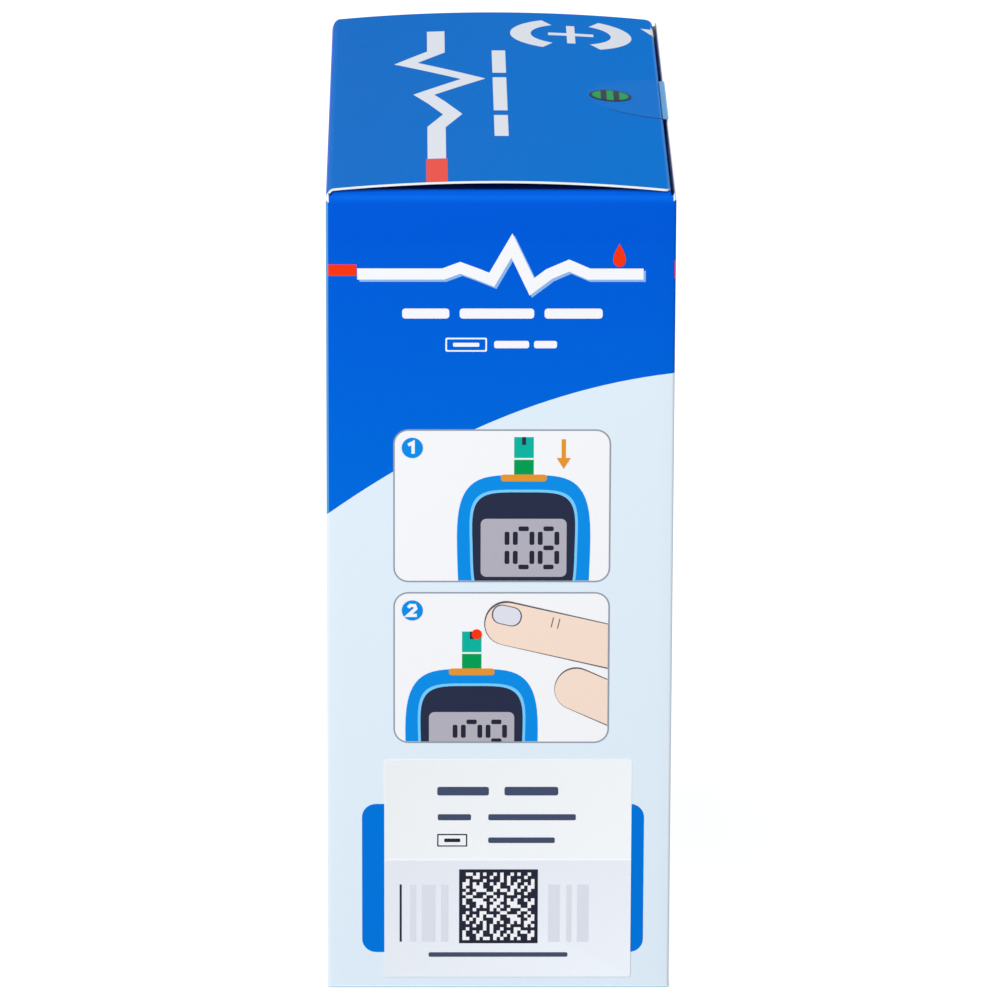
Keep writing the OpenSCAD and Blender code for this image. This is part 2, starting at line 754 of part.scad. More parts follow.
module plus_contact() color("gold") at_meter() {
    cell_back = bay_floor + 0.3 + cell_t;
    slab(cell_back, cell_back + 0.3) translate([0, cell_v + cell_r - 0.5])
        square([6, 5], center = true);
    slab(board_back, cell_back + 0.3) translate([0, cell_v + cell_r + 1.7])
        square([6, 0.4], center = true);
}

module coin_cell() color("silver") at_meter() translate([0, 0, cell_v])
    slab(bay_floor + 0.3, bay_floor + 0.3 + cell_t) circle(cell_r);

module battery_cover() color("dodgerblue") at_meter() {
    intersection() {
        slab(cover_front + 0.1, meter_t) translate([0, cover_l / 2])
            square([cover_w, cover_l], center = true);
        slab(0, meter_t) outline(edge_inset);
    }
    for (s = [-1, 1])
        slab(cover_front - 1.4, cover_front + 0.2) translate([s * (cover_w / 2 - 2.5), 26])
            square([1.8, 5], center = true);
}

module case_screws() color("silver") at_meter() {
    slab(5, head_seat + eps) at_screws() circle(screw_r);
    slab(head_seat, head_seat + head_t) at_screws() circle(head_r);
}

module rear_label() color("whitesmoke") at_meter()
    slab(meter_t, meter_t + film) translate([0, back_label_v]) rounded(cover_w, back_label_l, 2);

carton_sleeve();
top_lid();
tuck_flap();
front_dust_flap();
rear_dust_flap();
bottom_outer_panel();
bottom_inner_panel();
bottom_front_flap();
bottom_rear_flap();
front_label();
code_sticker();
clear_seal();
round_sticker();
insert_shelf();
insert_deck();
booklet();
spare_lancets();
twist_off_caps();
vial_body();
vial_cap();
vial_liner();
test_strips();
lancer_barrel();
cocking_sleeve();
lancet_carrier();
drive_spring();
return_spring();
release_button();
depth_dial();
nose_cap();
fitted_lancet();
front_shell();
rear_shell();
display_lens();
lcd_panel();
lcd_frame();
zebra_strips();
circuit_board();
board_chips();
buzzer();
strip_port();
port_contacts();
dome_switches();
left_button();
right_button();
minus_contact();
plus_contact();
coin_cell();
battery_cover();
case_screws();
rear_label();
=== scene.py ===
import json
from math import cos, pi, radians, sin
import bmesh
import bpy
import numpy as np
from mathutils import Matrix, Vector

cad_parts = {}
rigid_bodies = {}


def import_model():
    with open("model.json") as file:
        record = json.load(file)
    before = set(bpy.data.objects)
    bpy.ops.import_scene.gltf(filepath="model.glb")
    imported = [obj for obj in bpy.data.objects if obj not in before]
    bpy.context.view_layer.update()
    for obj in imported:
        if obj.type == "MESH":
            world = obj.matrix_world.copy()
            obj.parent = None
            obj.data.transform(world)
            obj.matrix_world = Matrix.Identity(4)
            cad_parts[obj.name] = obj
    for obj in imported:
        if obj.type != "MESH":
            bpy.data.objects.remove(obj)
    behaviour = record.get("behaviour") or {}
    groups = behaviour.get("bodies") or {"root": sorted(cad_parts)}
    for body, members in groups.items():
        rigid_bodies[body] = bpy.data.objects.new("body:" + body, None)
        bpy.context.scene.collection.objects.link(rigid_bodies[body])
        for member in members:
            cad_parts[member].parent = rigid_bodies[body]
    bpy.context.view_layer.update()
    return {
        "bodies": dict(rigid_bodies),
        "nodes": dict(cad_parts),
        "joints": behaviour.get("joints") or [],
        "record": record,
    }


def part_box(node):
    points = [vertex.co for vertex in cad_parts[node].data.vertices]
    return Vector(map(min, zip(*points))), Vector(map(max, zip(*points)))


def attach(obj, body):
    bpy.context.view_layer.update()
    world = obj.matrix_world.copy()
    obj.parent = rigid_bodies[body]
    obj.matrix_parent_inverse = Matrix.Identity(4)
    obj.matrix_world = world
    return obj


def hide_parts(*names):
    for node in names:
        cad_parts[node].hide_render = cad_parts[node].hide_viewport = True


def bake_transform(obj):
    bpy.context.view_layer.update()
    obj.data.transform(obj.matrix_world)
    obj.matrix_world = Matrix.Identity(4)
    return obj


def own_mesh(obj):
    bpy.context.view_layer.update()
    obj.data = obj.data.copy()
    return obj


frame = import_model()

# Boxed blood glucose meter. Shapes are worked out in millimetres and stored in metres.
perMetre = 1000.0


# Lowest and highest corner of a node, in millimetres
def nodeBox(name):
    low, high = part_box(name)
    return np.array(low) * perMetre, np.array(high) * perMetre


# Points from arrays of their coordinates, all spread to one common shape
def join(*parts):
    return np.stack(np.broadcast_arrays(*parts), -1)


# A grid of points (rows, columns, 3) becomes quads: each joins point (i, j) with its neighbours in
# the next row and column. Where closed, the last column joins the first
def patch(points, closed=False, slot=0):
    rows, columns = points.shape[:2]
    i, j = np.meshgrid(np.arange(rows - 1), np.arange(columns - (not closed)), indexing="ij")
    here, after = i * columns + j, i * columns + (j + 1) % columns
    quads = join(here, here + columns, after + columns, after).reshape(-1, 4).tolist()
    return points.reshape(-1, 3), quads, [slot] * len(quads)


# A closed ring of points becomes one face
def endFace(ring, slot=0):
    return ring, [list(range(len(ring)))], [slot]


# An object for some data, linked to the scene
def addObject(name, data):
    thing = bpy.data.objects.new(name, data)
    bpy.context.scene.collection.objects.link(thing)
    return thing


# Patches become one welded mesh with its faces outward, on a body. For a crease, body is instead the
# two bodies that it joins and the points between which it turns; these are not used, and the piece
# stays in place on no body
def makePiece(name, patches, materials, body, stands=(), sharp=32, weld=0.002):
    points, faces, slots, start = [], [], [], 0
    for verts, quads, faceSlots in patches:
        points.append(verts)
        faces += [[k + start for k in face] for face in quads]
        slots += faceSlots
        start += len(verts)
    mesh = bpy.data.meshes.new(name)
    mesh.from_pydata((np.concatenate(points) / perMetre).tolist(), [], faces)
    mesh.polygons.foreach_set("material_index", slots)
    work = bmesh.new()
    work.from_mesh(mesh)
    bmesh.ops.remove_doubles(work, verts=work.verts, dist=weld / perMetre)
    bmesh.ops.recalc_face_normals(work, faces=work.faces)
    work.to_mesh(mesh)
    work.free()
    mesh.polygons.foreach_set("use_smooth", [True] * len(mesh.polygons))
    mesh.set_sharp_from_angle(angle=radians(sharp))
    piece = addObject(name, mesh)
    for material in materials:
        mesh.materials.append(material)
    if isinstance(body, tuple):
        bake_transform(piece)
    else:
        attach(piece, body)
    if stands:
        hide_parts(*stands)
    return piece


# Outlines are (n, 2) arrays that run anticlockwise. Points of a circle: its middle, and the radius
# times cosine and sine of each angle
def onCircle(x, y, r, turn):
    return join(x + r * np.cos(turn), y + r * np.sin(turn))


# A whole circle in even steps
def disc(x, y, r, steps=40):
    return onCircle(x, y, r, np.linspace(0, 2 * pi, steps, endpoint=False))


# Rectangle with its corners as quarter circles, each about a point one radius in from both sides
def roundRect(w, h, r, steps=5, centre=(0, 0)):
    r = max(min(r, w / 2 - 1e-3, h / 2 - 1e-3), 1e-3)
    turn = np.linspace(0, pi / 2, steps + 1)
    corners = [onCircle(sx * (w / 2 - r), sy * (h / 2 - r), r, turn + start)
               for sx, sy, start in ((1, 1, 0), (-1, 1, pi / 2), (-1, -1, pi), (1, -1, 1.5 * pi))]
    return np.concatenate(corners) + np.array(centre)


# The same from two opposite corners
def box(x0, y0, x1, y1, r=0.01, steps=4):
    return roundRect(x1 - x0, y1 - y0, r, steps, ((x0 + x1) / 2, (y0 + y1) / 2))


# Superellipse: cosine and sine of an even turn, each with its size raised to 2 / power, and its
# width made less by the taper from its top to its foot
def squircle(w, h, power, taper=0.0, centre=(0, 0), steps=64):
    turn = 2 * pi * (np.arange(steps) + 0.5) / steps
    u, v = (np.sign(part) * np.abs(part) ** (2 / power) for part in (np.cos(turn), np.sin(turn)))
    return join(w / 2 * u * (1 - taper * (1 - v) / 2), h / 2 * v) + np.array(centre)


# Falling drop of height h: a cosine for its height, and for its width a sine times a power of the
# half turn's sine, which is nothing at the top and so draws it to a point
def dropShape(x, y, h, steps=36):
    turn = np.linspace(0, 2 * pi, steps, endpoint=False)
    return join(x - 0.36 * h * np.sin(turn) * np.sin(turn / 2) ** 1.3, y + 0.5 * h * np.cos(turn))


# Line of even width: each point moves to either side along the mean of its two parts' normals, by
# half the width over that mean's squared length, which keeps the sides parallel where the line bends
def stroke(points, width):
    points = np.asarray(points, float)
    run = np.diff(points, axis=0)
    run /= np.linalg.norm(run, axis=1, keepdims=True)
    side = join(-run[:, 1], run[:, 0])
    mean = np.concatenate([side[:1], side[:-1] + side[1:], side[-1:]])
    reach = np.ones(len(points))
    reach[1:-1] = 2 / np.sum(mean[1:-1] ** 2, axis=1)
    offset = mean * (reach * width / 2)[:, None]
    return np.concatenate([points + offset, (points - offset)[::-1]])


# The same line as a grid of two rows, each straight part cut into even short steps, for a curved place
def band(points, width, step=2.0):
    ring = stroke(points, width)
    half = len(ring) // 2
    left, right = ring[:half], ring[half:][::-1]
    lines = []
    for k in range(half - 1):
        steps = int(np.ceil(np.linalg.norm(np.subtract(points[k + 1], points[k])) / step))
        share = np.linspace(0, 1, steps + 1)[:, None]
        cut = [side[k] + (side[k + 1] - side[k]) * share for side in (left, right)]
        lines.append(np.stack(cut)[:, 1 if k else 0:])
    return np.concatenate(lines, axis=1)


# Outline filled by shrunken copies of itself, for a curved place
def filled(outline):
    return np.stack([grown(outline, share) for share in (0.02, 0.35, 0.7, 1.0)])


# Outline grown about its mean point: its offsets from there times a share
def grown(outline, share):
    middle = outline.mean(axis=0)
    return middle + (outline - middle) * share


# Part of an outline inside a convex frame: along each edge of the frame, points to its left stay, and
# one is added where the outline crosses the edge
def clip(outline, frame):
    points = [np.array(point) for point in outline]
    for a, b in zip(frame, np.roll(frame, -1, axis=0)):
        inside = [(b[0] - a[0]) * (q[1] - a[1]) - (b[1] - a[1]) * (q[0] - a[0]) for q in points]
        kept = []
        for k, point in enumerate(points):
            before, now = inside[k - 1], inside[k]
            if before * now < 0:
                kept.append(points[k - 1] + (point - points[k - 1]) * before / (before - now))
            if now >= 0:
                kept.append(point)
        points = kept
        if len(points) < 3:
            return None
    return np.array(points)


# Outline turned about a point: its offsets times the matrix of cosine and sine
def turned(outline, degrees, x=0, y=0):
    c, n = cos(radians(degrees)), sin(radians(degrees))
    return (np.asarray(outline) - (x, y)) @ np.array([[c, n], [-n, c]]) + (x, y)


# Linear colour from the 0 to 255 values that a screen shows: a low share over 12.92, and otherwise
# the share plus 0.055, over 1.055, to the power 2.4
def rgb(red, green, blue):
    share = np.array([red, green, blue]) / 255
    linear = np.where(share <= 0.04045, share / 12.92, ((share + 0.055) / 1.055) ** 2.4)
    return (*linear.tolist(), 1.0)


# Adds a node, sets its properties and gives each input a value or a link
def addNode(tree, kind, props=None, **inputs):
    node = tree.nodes.new(kind)
    for key, value in (props or {}).items():
        setattr(node, key, value)
    for key, value in inputs.items():
        label = int(key[1:]) if key[1:].isdigit() else key.replace("_", " ")
        if isinstance(value, bpy.types.NodeSocket):
            tree.links.new(value, node.inputs[label])
        else:
            node.inputs[label].default_value = value
    return node


# Arithmetic on node outputs or plain numbers
def mathNode(tree, operation, a, b=0.0):
    return addNode(tree, "ShaderNodeMath", {"operation": operation}, i0=a, i1=b).outputs[0]


# Sum of two
def plus(tree, a, b):
    return mathNode(tree, "ADD", a, b)


# Product of two
def times(tree, a, b):
    return mathNode(tree, "MULTIPLY", a, b)


# Cloud noise at a place
def noiseNode(tree, place, scale, detail):
    return addNode(tree, "ShaderNodeTexNoise", Vector=place, Scale=scale, Detail=detail).outputs[0]


# Links an output to each input that is named
def linkTo(tree, ends, **values):
    for label, value in values.items():
        tree.links.new(value, ends[label])


# Node group with named float inputs and outputs: its tree, what comes in, what goes out, and the
# object's own coordinates
def makeGroup(name, inputs, outputs):
    tree = bpy.data.node_groups.new(name, "ShaderNodeTree")
    for label, value in inputs.items():
        socket = tree.interface.new_socket(label, in_out="INPUT", socket_type="NodeSocketFloat")
        socket.default_value = value
    for label in outputs:
        tree.interface.new_socket(label, in_out="OUTPUT", socket_type="NodeSocketFloat")
    start, end = tree.nodes.new("NodeGroupInput"), tree.nodes.new("NodeGroupOutput")
    return tree, start.outputs, end.inputs, addNode(tree, "ShaderNodeTexCoord").outputs["Object"]


# Mottling: 0.6 of a cloudy and 0.4 of a fine noise, less 0.5 and times the depth, move the colour about
# 1. The cloud also shifts the roughness, and the fine noise plus 0.6 of the cloud is the height
def mottleGroup():
    tree, start, end, place = makeGroup("mottle", {"Cloud": 30.0, "Fine": 900.0, "Depth": 0.04},
                                        ("Shade", "Rough", "Height"))
    cloud, fine = (noiseNode(tree, place, start[label], detail)
                   for label, detail in (("Cloud", 3.0), ("Fine", 2.0)))
    both = plus(tree, times(tree, cloud, 0.6), times(tree, fine, 0.4))
    shift = times(tree, plus(tree, both, -0.5), start["Depth"])
    linkTo(tree, end, Shade=plus(tree, shift, 1.0), Rough=times(tree, cloud, 0.16),
           Height=plus(tree, fine, times(tree, cloud, 0.6)))
    return tree


# Fibres, for cut board: noise at x plus y times a small count and z times a large one, so that it is
# drawn out level. The shade is 0.3 of it plus 0.82
def fibreGroup():
    tree, start, end, place = makeGroup("fibre", {"Along": 60.0, "Across": 2600.0},
                                        ("Shade", "Height"))
    x, y, z = addNode(tree, "ShaderNodeSeparateXYZ", Vector=place).outputs
    drawn = addNode(tree, "ShaderNodeCombineXYZ", i0=times(tree, plus(tree, x, y), start["Along"]),
                    i1=times(tree, z, start["Across"])).outputs[0]
    noise = noiseNode(tree, drawn, 1.0, 3.0)
    linkTo(tree, end, Shade=plus(tree, times(tree, noise, 0.3), 0.82), Height=noise)
    return tree


# Ridges, for page edges and grips: half the sine of the place along one direction times a count, plus
# 0.4 of a noise. The shade is that times the depth, plus 0.95, so the troughs are darker as painted
# shade
def ridgeGroup():
    tree, start, end, place = makeGroup("ridge", {"X": 0.0, "Y": 0.0, "Z": 1.0, "Count": 2000.0,
                                                  "Depth": 0.1}, ("Shade", "Height"))
    split = addNode(tree, "ShaderNodeSeparateXYZ", Vector=place).outputs
    x, y, z = (times(tree, split[i], start[i]) for i in range(3))
    phase = times(tree, plus(tree, plus(tree, x, y), z), times(tree, start["Count"], 2 * pi))
    rough = plus(tree, times(tree, mathNode(tree, "SINE", phase), 0.5),
                 times(tree, noiseNode(tree, place, 400.0, 2.0), 0.4))
    linkTo(tree, end, Shade=plus(tree, times(tree, rough, start["Depth"]), 0.95), Height=rough)
    return tree


mottle, fibre, ridge = mottleGroup(), fibreGroup(), ridgeGroup()


# A surface: a colour, or two along an axis, times a group's shade, a roughness that the mottling moves
# a little, and the group's height as bump
def surface(name, colour, rough=0.5, bump=0.0, shade=mottle, cloud=30.0, fine=900.0, depth=0.04,
            low=None, lowAt=(0.0, 0.1), along=2, extra=None, reach=0.0001, **fixed):
    material = bpy.data.materials.new(name)
    material.use_nodes = True
    tree = material.node_tree
    ends = tree.nodes["Principled BSDF"].inputs
    values = {"Cloud": cloud, "Fine": fine, "Depth": depth} if shade is mottle else extra or {}
    made = addNode(tree, "ShaderNodeGroup", {"node_tree": shade}, **values).outputs
    ends["Roughness"].default_value = rough
    if shade is mottle:
        linkTo(tree, ends, Roughness=plus(tree, made["Rough"], rough - 0.08))
    tint = colour
    if low:
        place = addNode(tree, "ShaderNodeTexCoord").outputs["Object"]
        place = addNode(tree, "ShaderNodeSeparateXYZ", Vector=place).outputs[along]
        share = addNode(tree, "ShaderNodeMapRange", i0=place, i1=lowAt[0], i2=lowAt[1]).outputs[0]
        tint = addNode(tree, "ShaderNodeMix", {"data_type": "RGBA"}, i0=share, i6=low,
                       i7=colour).outputs[2]
    grey = addNode(tree, "ShaderNodeCombineColor", i0=made["Shade"], i1=made["Shade"],
                   i2=made["Shade"]).outputs[0]
    mixed = addNode(tree, "ShaderNodeMix", {"data_type": "RGBA", "blend_type": "MULTIPLY"},
                    i0=1.0, i6=tint, i7=grey).outputs[2]
    tree.links.new(mixed, ends["Base Color"])
    if bump:
        linkTo(tree, ends, Normal=addNode(tree, "ShaderNodeBump", Height=made["Height"],
                                          Strength=bump, Distance=reach).outputs[0])
    for label, value in fixed.items():
        ends[label.replace("_", " ")].default_value = value
    return material


inkBoard = {"rough": 0.4, "bump": 0.1, "fine": 1400.0, "cloud": 22.0, "depth": 0.03,
            "Specular_IOR_Level": 0.02}
dullBoard = {**inkBoard, "Specular_IOR_Level": 0.002}       # on the lid, which is seen at a low angle
blueInk = surface("carton_blue", rgb(0, 90, 217), low=rgb(0, 108, 222), lowAt=(0.090, 0.150),
                  **inkBoard)
# Blue that turns lighter at the top creases of the front and rear: a painted highlight
foldHighlightInk = surface("fold_blue_painted_highlight", rgb(4, 101, 224), low=rgb(0, 90, 217), lowAt=(0.1522, 0.1534),
                  **inkBoard)
# The lid's blue turns greyer towards its left end: a painted sheen
lidSheenInk = surface("lid_blue_painted_sheen", rgb(0, 119, 215), low=rgb(20, 112, 203), lowAt=(-0.026, 0.028), along=0,
                 **dullBoard)
# Paler blue for the lid's tuck edge: a painted highlight
rollHighlightInk = surface("roll_blue_painted_highlight", rgb(64, 142, 232), **dullBoard)
flapShadeInk, creaseInk, paleInk, redInk, footShadeInk = (
    surface(name, rgb(*colour), **inkBoard) for name, colour in
    # flap_blue_painted_shade is a darker blue painted as the shade under the lid
    (("flap_blue_painted_shade", (0, 52, 140)), ("crease_blue", (92, 160, 216)), ("carton_pale", (226, 240, 252)),
     # foot_teal_painted_shade is a pale teal painted as shade along the base's rim
     ("carton_red", (250, 55, 18)), ("foot_teal_painted_shade", (186, 226, 242))))
boardWhite = surface("board_inside", rgb(236, 236, 232), rough=0.75, bump=0.3, cloud=60.0,
                     fine=2200.0)
boardEdge = surface("board_edge", rgb(246, 246, 244), rough=0.8, bump=0.3, shade=fibre)
inks = {"white": surface("ink_white", rgb(247, 248, 252), **inkBoard),
        "mist": surface("ink_mist", rgb(229, 234, 243), **dullBoard), "red": redInk,
        "coral": surface("ink_coral", rgb(240, 90, 80), **dullBoard), "blue": blueInk}
for ink, colour in (
        ("sky", (2, 118, 221)), ("azure", (14, 142, 232)), ("cyan", (121, 205, 255)),
        ("navy", (42, 48, 72)), ("grey", (150, 158, 170)), ("glass", (180, 177, 190)),
        ("orange", (232, 150, 48)), ("teal", (16, 180, 160)), ("green", (6, 158, 84)),
        ("skin", (248, 224, 208)), ("line", (96, 92, 96)), ("slate", (70, 80, 108)),
        ("shade", (140, 184, 238)), ("black", (40, 42, 58)), ("faint", (224, 227, 238))):
    inks[ink] = surface("ink_" + ink, rgb(*colour), **inkBoard)
paper = {"bump": 0.1, "fine": 1800.0, "depth": 0.02}
labelPaper = surface("label_paper", rgb(247, 251, 254), Specular_IOR_Level=0.2, **paper)
stickerPaper = surface("sticker_paper", rgb(239, 244, 252), rough=0.42, Specular_IOR_Level=0.25,
                       **paper)

sleeveLow, sleeveHigh = nodeBox("carton_sleeve")
lidLow, lidHigh = nodeBox("top_lid")
carton = {
    "inset": 0.1,               # room for print and labels inside the object's box
    "board": 0.42,
    "crease": 0.55,             # outer radius of the upright creases
    "hingeRoll": (1.4, 2.1),    # reach across and down of the crease between left wall and lid
    "flapRoll": 2.0,            # outer radius of the creases between the narrow walls and the flaps
    "share": 0.45,              # share of a crease that belongs to the wall
    "tuckRoll": 0.5,
    "frontCorner": 1.2,         # corner radius of the lid at the front end of its tuck edge
    "rearCorner": (1.6, 3.6),   # and at the rear end, across and along
    "lidNick": 21,              # step along the tuck edge at which its ink is chipped off
    "tuckCorner": 7.0,
    # The print that runs in over a dust flap is painted darker, as shade under the lid
    "flapShadedPrint": 5.5,           # how far the print runs in over a dust flap
    "stripe": (138.65, 140.8),  # lower and upper edge of the red stripe, left and front
    "rightStripe": (138.2, 141.6),
    "stripeEnd": -25.8,         # where the stripe ends on the front
    "stripeReach": -45.0,       # and on the broad panels
    "creaseUnder": (0.04, 0.34),    # depths of a crease strip's two faces
    "creaseEnd": 2.8,           # bare ends of the lid's crease, clear of the dust flaps
    "hingeRise": 0.37,          # height of the lid's hinge crease over its inner face
    "lidMargin": 0.05,          # how far the lid stays inside its node's box
    "narrowSweep": (92.9, 47.2, 19.9),      # the print's edge: start, climb and its easing
    "broadSweep": (120.3, 27.5, 12),        # start, fall and crest
}
halfW = sleeveHigh[0] - carton["inset"]
halfD = sleeveHigh[1] - carton["inset"]
sideTop = flapTop = sleeveHigh[2]
hingeTop = lidLow[2] + carton["hingeRise"]
lidCrease = lidLow[2] + carton["board"]
lidL = lidHigh[0] - lidLow[0]
lidBow = lidHigh[2] - lidCrease - carton["lidMargin"]


# Height of the lid's outer face: a parabola between its two creases
def lidTop(x):
    return lidCrease - carton["lidMargin"] + lidBow * (1 - (2 * (x - lidLow[0]) / lidL - 1) ** 2)


# Height of the edge between the pale and the blue print. On the narrow panels it climbs from left to
# right as a parabola. On the broad ones it goes on as a falling line plus a power of a sine, over a
# crest and back to where the next one starts
def sweepEdge(x, y):
    (low, climb, ease), (high, fall, crest) = carton["narrowSweep"], carton["broadSweep"]
    share = np.clip(0.5 + np.where(y > 0, -x, x) / 64, 0, 1)
    along = 0.5 + np.where(x > 0, y, -y) / 126
    narrow = low + climb * share - ease * share ** 2
    broad = high - fall * along + crest * np.sin(pi * np.clip(along, 0, 1)) ** 1.3
    return np.where(np.abs(y) > 62.0, narrow, broad)


# Outline of the sleeve with extra points along each straight side
def sleeveRing(inset, radius):
    corners = roundRect(2 * (halfW - inset), 2 * (halfD - inset), radius, 6).reshape(4, 7, 2)
    parts = []
    for corner, after, count in zip(corners, np.roll(corners, -1, 0), (24, 28, 24, 28)):
        share = np.linspace(0, 1, count + 2)[1:-1, None]
        parts += [corner, corner[-1] + (after[0] - corner[-1]) * share]
    return np.concatenate(parts)


# Sleeve: the outline carried up in rows, with a row on the print's edge and rows on the stripes.
# Three walls lean in at the top along a quarter circle as far as their crease, the right one stays
# upright to its cut edge
def makeSleeve():
    blue, pale, red, cutEdge, worn, highlightedFold = range(1, 7)
    paleRows, bendRows = 8, 4
    outer = sleeveRing(0, carton["crease"])
    inner = sleeveRing(carton["board"], carton["crease"] - carton["board"]).T
    away = sleeveRing(-1, carton["crease"] + 1) - outer
    edge = sweepEdge(*outer.T)
    isLeft = np.clip(-away[:, 0], 0, 1)
    isRight = outer[:, 0] > halfW - 0.28
    across, down = (np.where(isRight, 0, isLeft * reach + (1 - isLeft) * carton["flapRoll"])
                    for reach in carton["hingeRoll"])
    crown = isLeft * hingeTop + (1 - isLeft) * flapTop
    start = np.where(isRight, sideTop - carton["flapRoll"], crown - down)
    low = sleeveLow[2] + 0.02
    stripeRows = sorted([*carton["stripe"], *carton["rightStripe"]])
    rows = [low + (edge - low) * t for t in np.linspace(0, 1, paleRows + 1)]
    rows += [edge + (stripeRows[0] - edge) * t for t in np.linspace(0, 1, 5)[1:]]
    rows += [np.full(len(outer), z) for z in stripeRows[1:]]
    rows += [stripeRows[-1] + (start - stripeRows[-1]) * t for t in np.linspace(0, 1, 4)[1:]]
    flat = [outer] * len(rows)
    bend = np.linspace(0, carton["share"] * pi / 2, bendRows + 1)[1:]
    for t in bend:
        rows.append(start + np.where(isRight, carton["flapRoll"] * t / bend[-1], down * np.sin(t)))
        lean = np.where(isRight, 0.12 * t / bend[-1], across * (1 - np.cos(t)))
        flat.append(outer - away * lean[:, None])
    height = np.stack(rows)
    skin = np.concatenate([np.stack(flat), height[:, :, None]], -1)
    verts, quads, slots = patch(skin, True, blue)
    slots = np.array(slots).reshape(len(height) - 1, len(outer))
    slots[:paleRows] = pale
    x, y = ((outer + np.roll(outer, -1, 0)) / 2).T
    rowMid = ((height[:-1] + height[1:]) / 2)[:, :1] * np.ones(len(outer))
    right = x > halfW - 0.3
    broad = y < carton["stripeReach"]
    front = (y < -halfD + 0.5) & (x < carton["stripeEnd"])
    for region, (zLow, zHigh) in (((x < -halfW + 1) & broad | front, carton["stripe"]),
                                  (right & broad, carton["rightStripe"])):
        slots[(rowMid > zLow) & (rowMid < zHigh) & region] = red
    # The top creases of the front and rear take the painted highlight
    slots[-bendRows - 2:, np.abs(y) > halfD - 0.5] = highlightedFold
    slots[paleRows:-bendRows, (x < -halfW + 0.45) & (y < -halfD + 0.9)] = worn
    slots[-bendRows:, (x < -halfW + 0.5) & (y < -halfD + 0.9)] = cutEdge
    slots[1 - bendRows:, (x > halfW - 0.7) & (y < -halfD + 1.2)] = cutEdge
    rim = skin[-1] - join(*(away * np.where(isRight, 0.14, 0.3)[:, None]).T, 0.02)
    lining = np.stack([join(*inner, low), join(*inner, start - 0.3), rim])
    inY = halfD - carton["board"]
    seamX, seamZ = roundRect(12, sideTop - 14, 2.5, centre=(carton["crease"] + 6.1 - halfW,
                                                            sideTop / 2 - 1)).T
    seam = np.stack([join(seamX, y, seamZ) for y in (inY + 0.05, inY - carton["board"])])
    rimVerts, rimQuads = patch(np.stack([skin[-1], rim]), True)[:2]
    patches = [(verts, quads, slots.ravel().tolist()), patch(lining, True),
               (rimVerts, rimQuads, np.where(right, cutEdge, blue).tolist()),
               patch(np.stack([skin[0], lining[0]]), True, pale), patch(seam, True, cutEdge),
               endFace(seam[0]), endFace(seam[1])]
    materials = [boardWhite, blueInk, paleInk, redInk, boardEdge, creaseInk, foldHighlightInk]
    return makePiece("sleeve", patches, materials, "carton", ["carton_sleeve"])


# A sheet of board from its outer face as a grid: the inner face lies one thickness under it along
# the grid's normals, and strips close the four edges
def boardSheet(points, thickness, outerSlot=1, innerSlot=0, edgeSlot=2, foldSlot=None):
    normal = np.cross(np.gradient(points, axis=0), np.gradient(points, axis=1))
    normal /= np.maximum(np.linalg.norm(normal, axis=-1, keepdims=True), 1e-9)
    inner = points - normal * thickness
    both = np.stack([points, inner])
    fold = edgeSlot if foldSlot is None else foldSlot
    return [patch(points, slot=outerSlot), patch(inner, slot=innerSlot), patch(both[:, 0], slot=fold),
            *(patch(rim, slot=edgeSlot) for rim in (both[:, -1], both[:, :, 0], both[:, :, -1]))]


# How far an edge falls away round a corner, at a distance past the corner's start: a quarter
# ellipse, so the fall times 1 less the root of 1 less the squared share of the way
def cornerFall(past, radius, fall=None):
    return (fall or radius) * (1 - np.sqrt(1 - np.clip(past / radius, 0, 1) ** 2))


# Lid: from the left, the end of the quarter ellipse of its hinge crease, the parabola of its bow and
# the quarter circle of its tuck edge, painted paler there as a highlight. Front and rear ends fall
# away round a corner there
def makeLid():
    (r, rise), tuck = carton["hingeRoll"], carton["tuckRoll"]
    left, right = -halfW, lidHigh[0]
    turn = np.linspace((carton["share"] + 0.03) * pi / 2, pi / 2, 6)[:-1]
    fall = np.linspace(0, pi / 2, 5)[1:]
    bowX = np.concatenate([np.linspace(left + r, right - 2.4, 35),
                           np.linspace(right - 2.2, right - tuck, 8)])
    x = np.concatenate([left + r - r * np.cos(turn), bowX, right - tuck + tuck * np.sin(fall)])
    lift = (lidTop(left + r) - hingeTop) * np.clip((turn - turn[0]) / (pi / 2 - turn[0]), 0, 1)
    z = np.concatenate([hingeTop - rise + rise * np.sin(turn) + lift, lidTop(bowX),
                        lidTop(right - tuck) - tuck + tuck * np.cos(fall)])
    cut, (cutX, cutY) = carton["frontCorner"], carton["rearCorner"]
    near = lidLow[1] + carton["lidMargin"] + cornerFall(x - (right - cut), cut)
    far = lidHigh[1] - carton["lidMargin"] - cornerFall(x - (right - cutX), cutX, cutY)
    y = near[:, None] + (far - near)[:, None] * np.linspace(0, 1, 24)
    sheet = boardSheet(join(x[:, None], y, z[:, None]), carton["board"], foldSlot=1)
    slots = np.array(sheet[0][2]).reshape(len(x) - 1, -1)
    # The tuck edge's roll takes the paler blue of a painted highlight
    slots[-len(fall):] = 3
    slots[-len(fall):, carton["lidNick"]] = 2
    sheet[0] = (*sheet[0][:2], slots.ravel().tolist())
    return makePiece("lid", sheet, [boardWhite, lidSheenInk, boardEdge, rollHighlightInk], "lid", ["top_lid"])


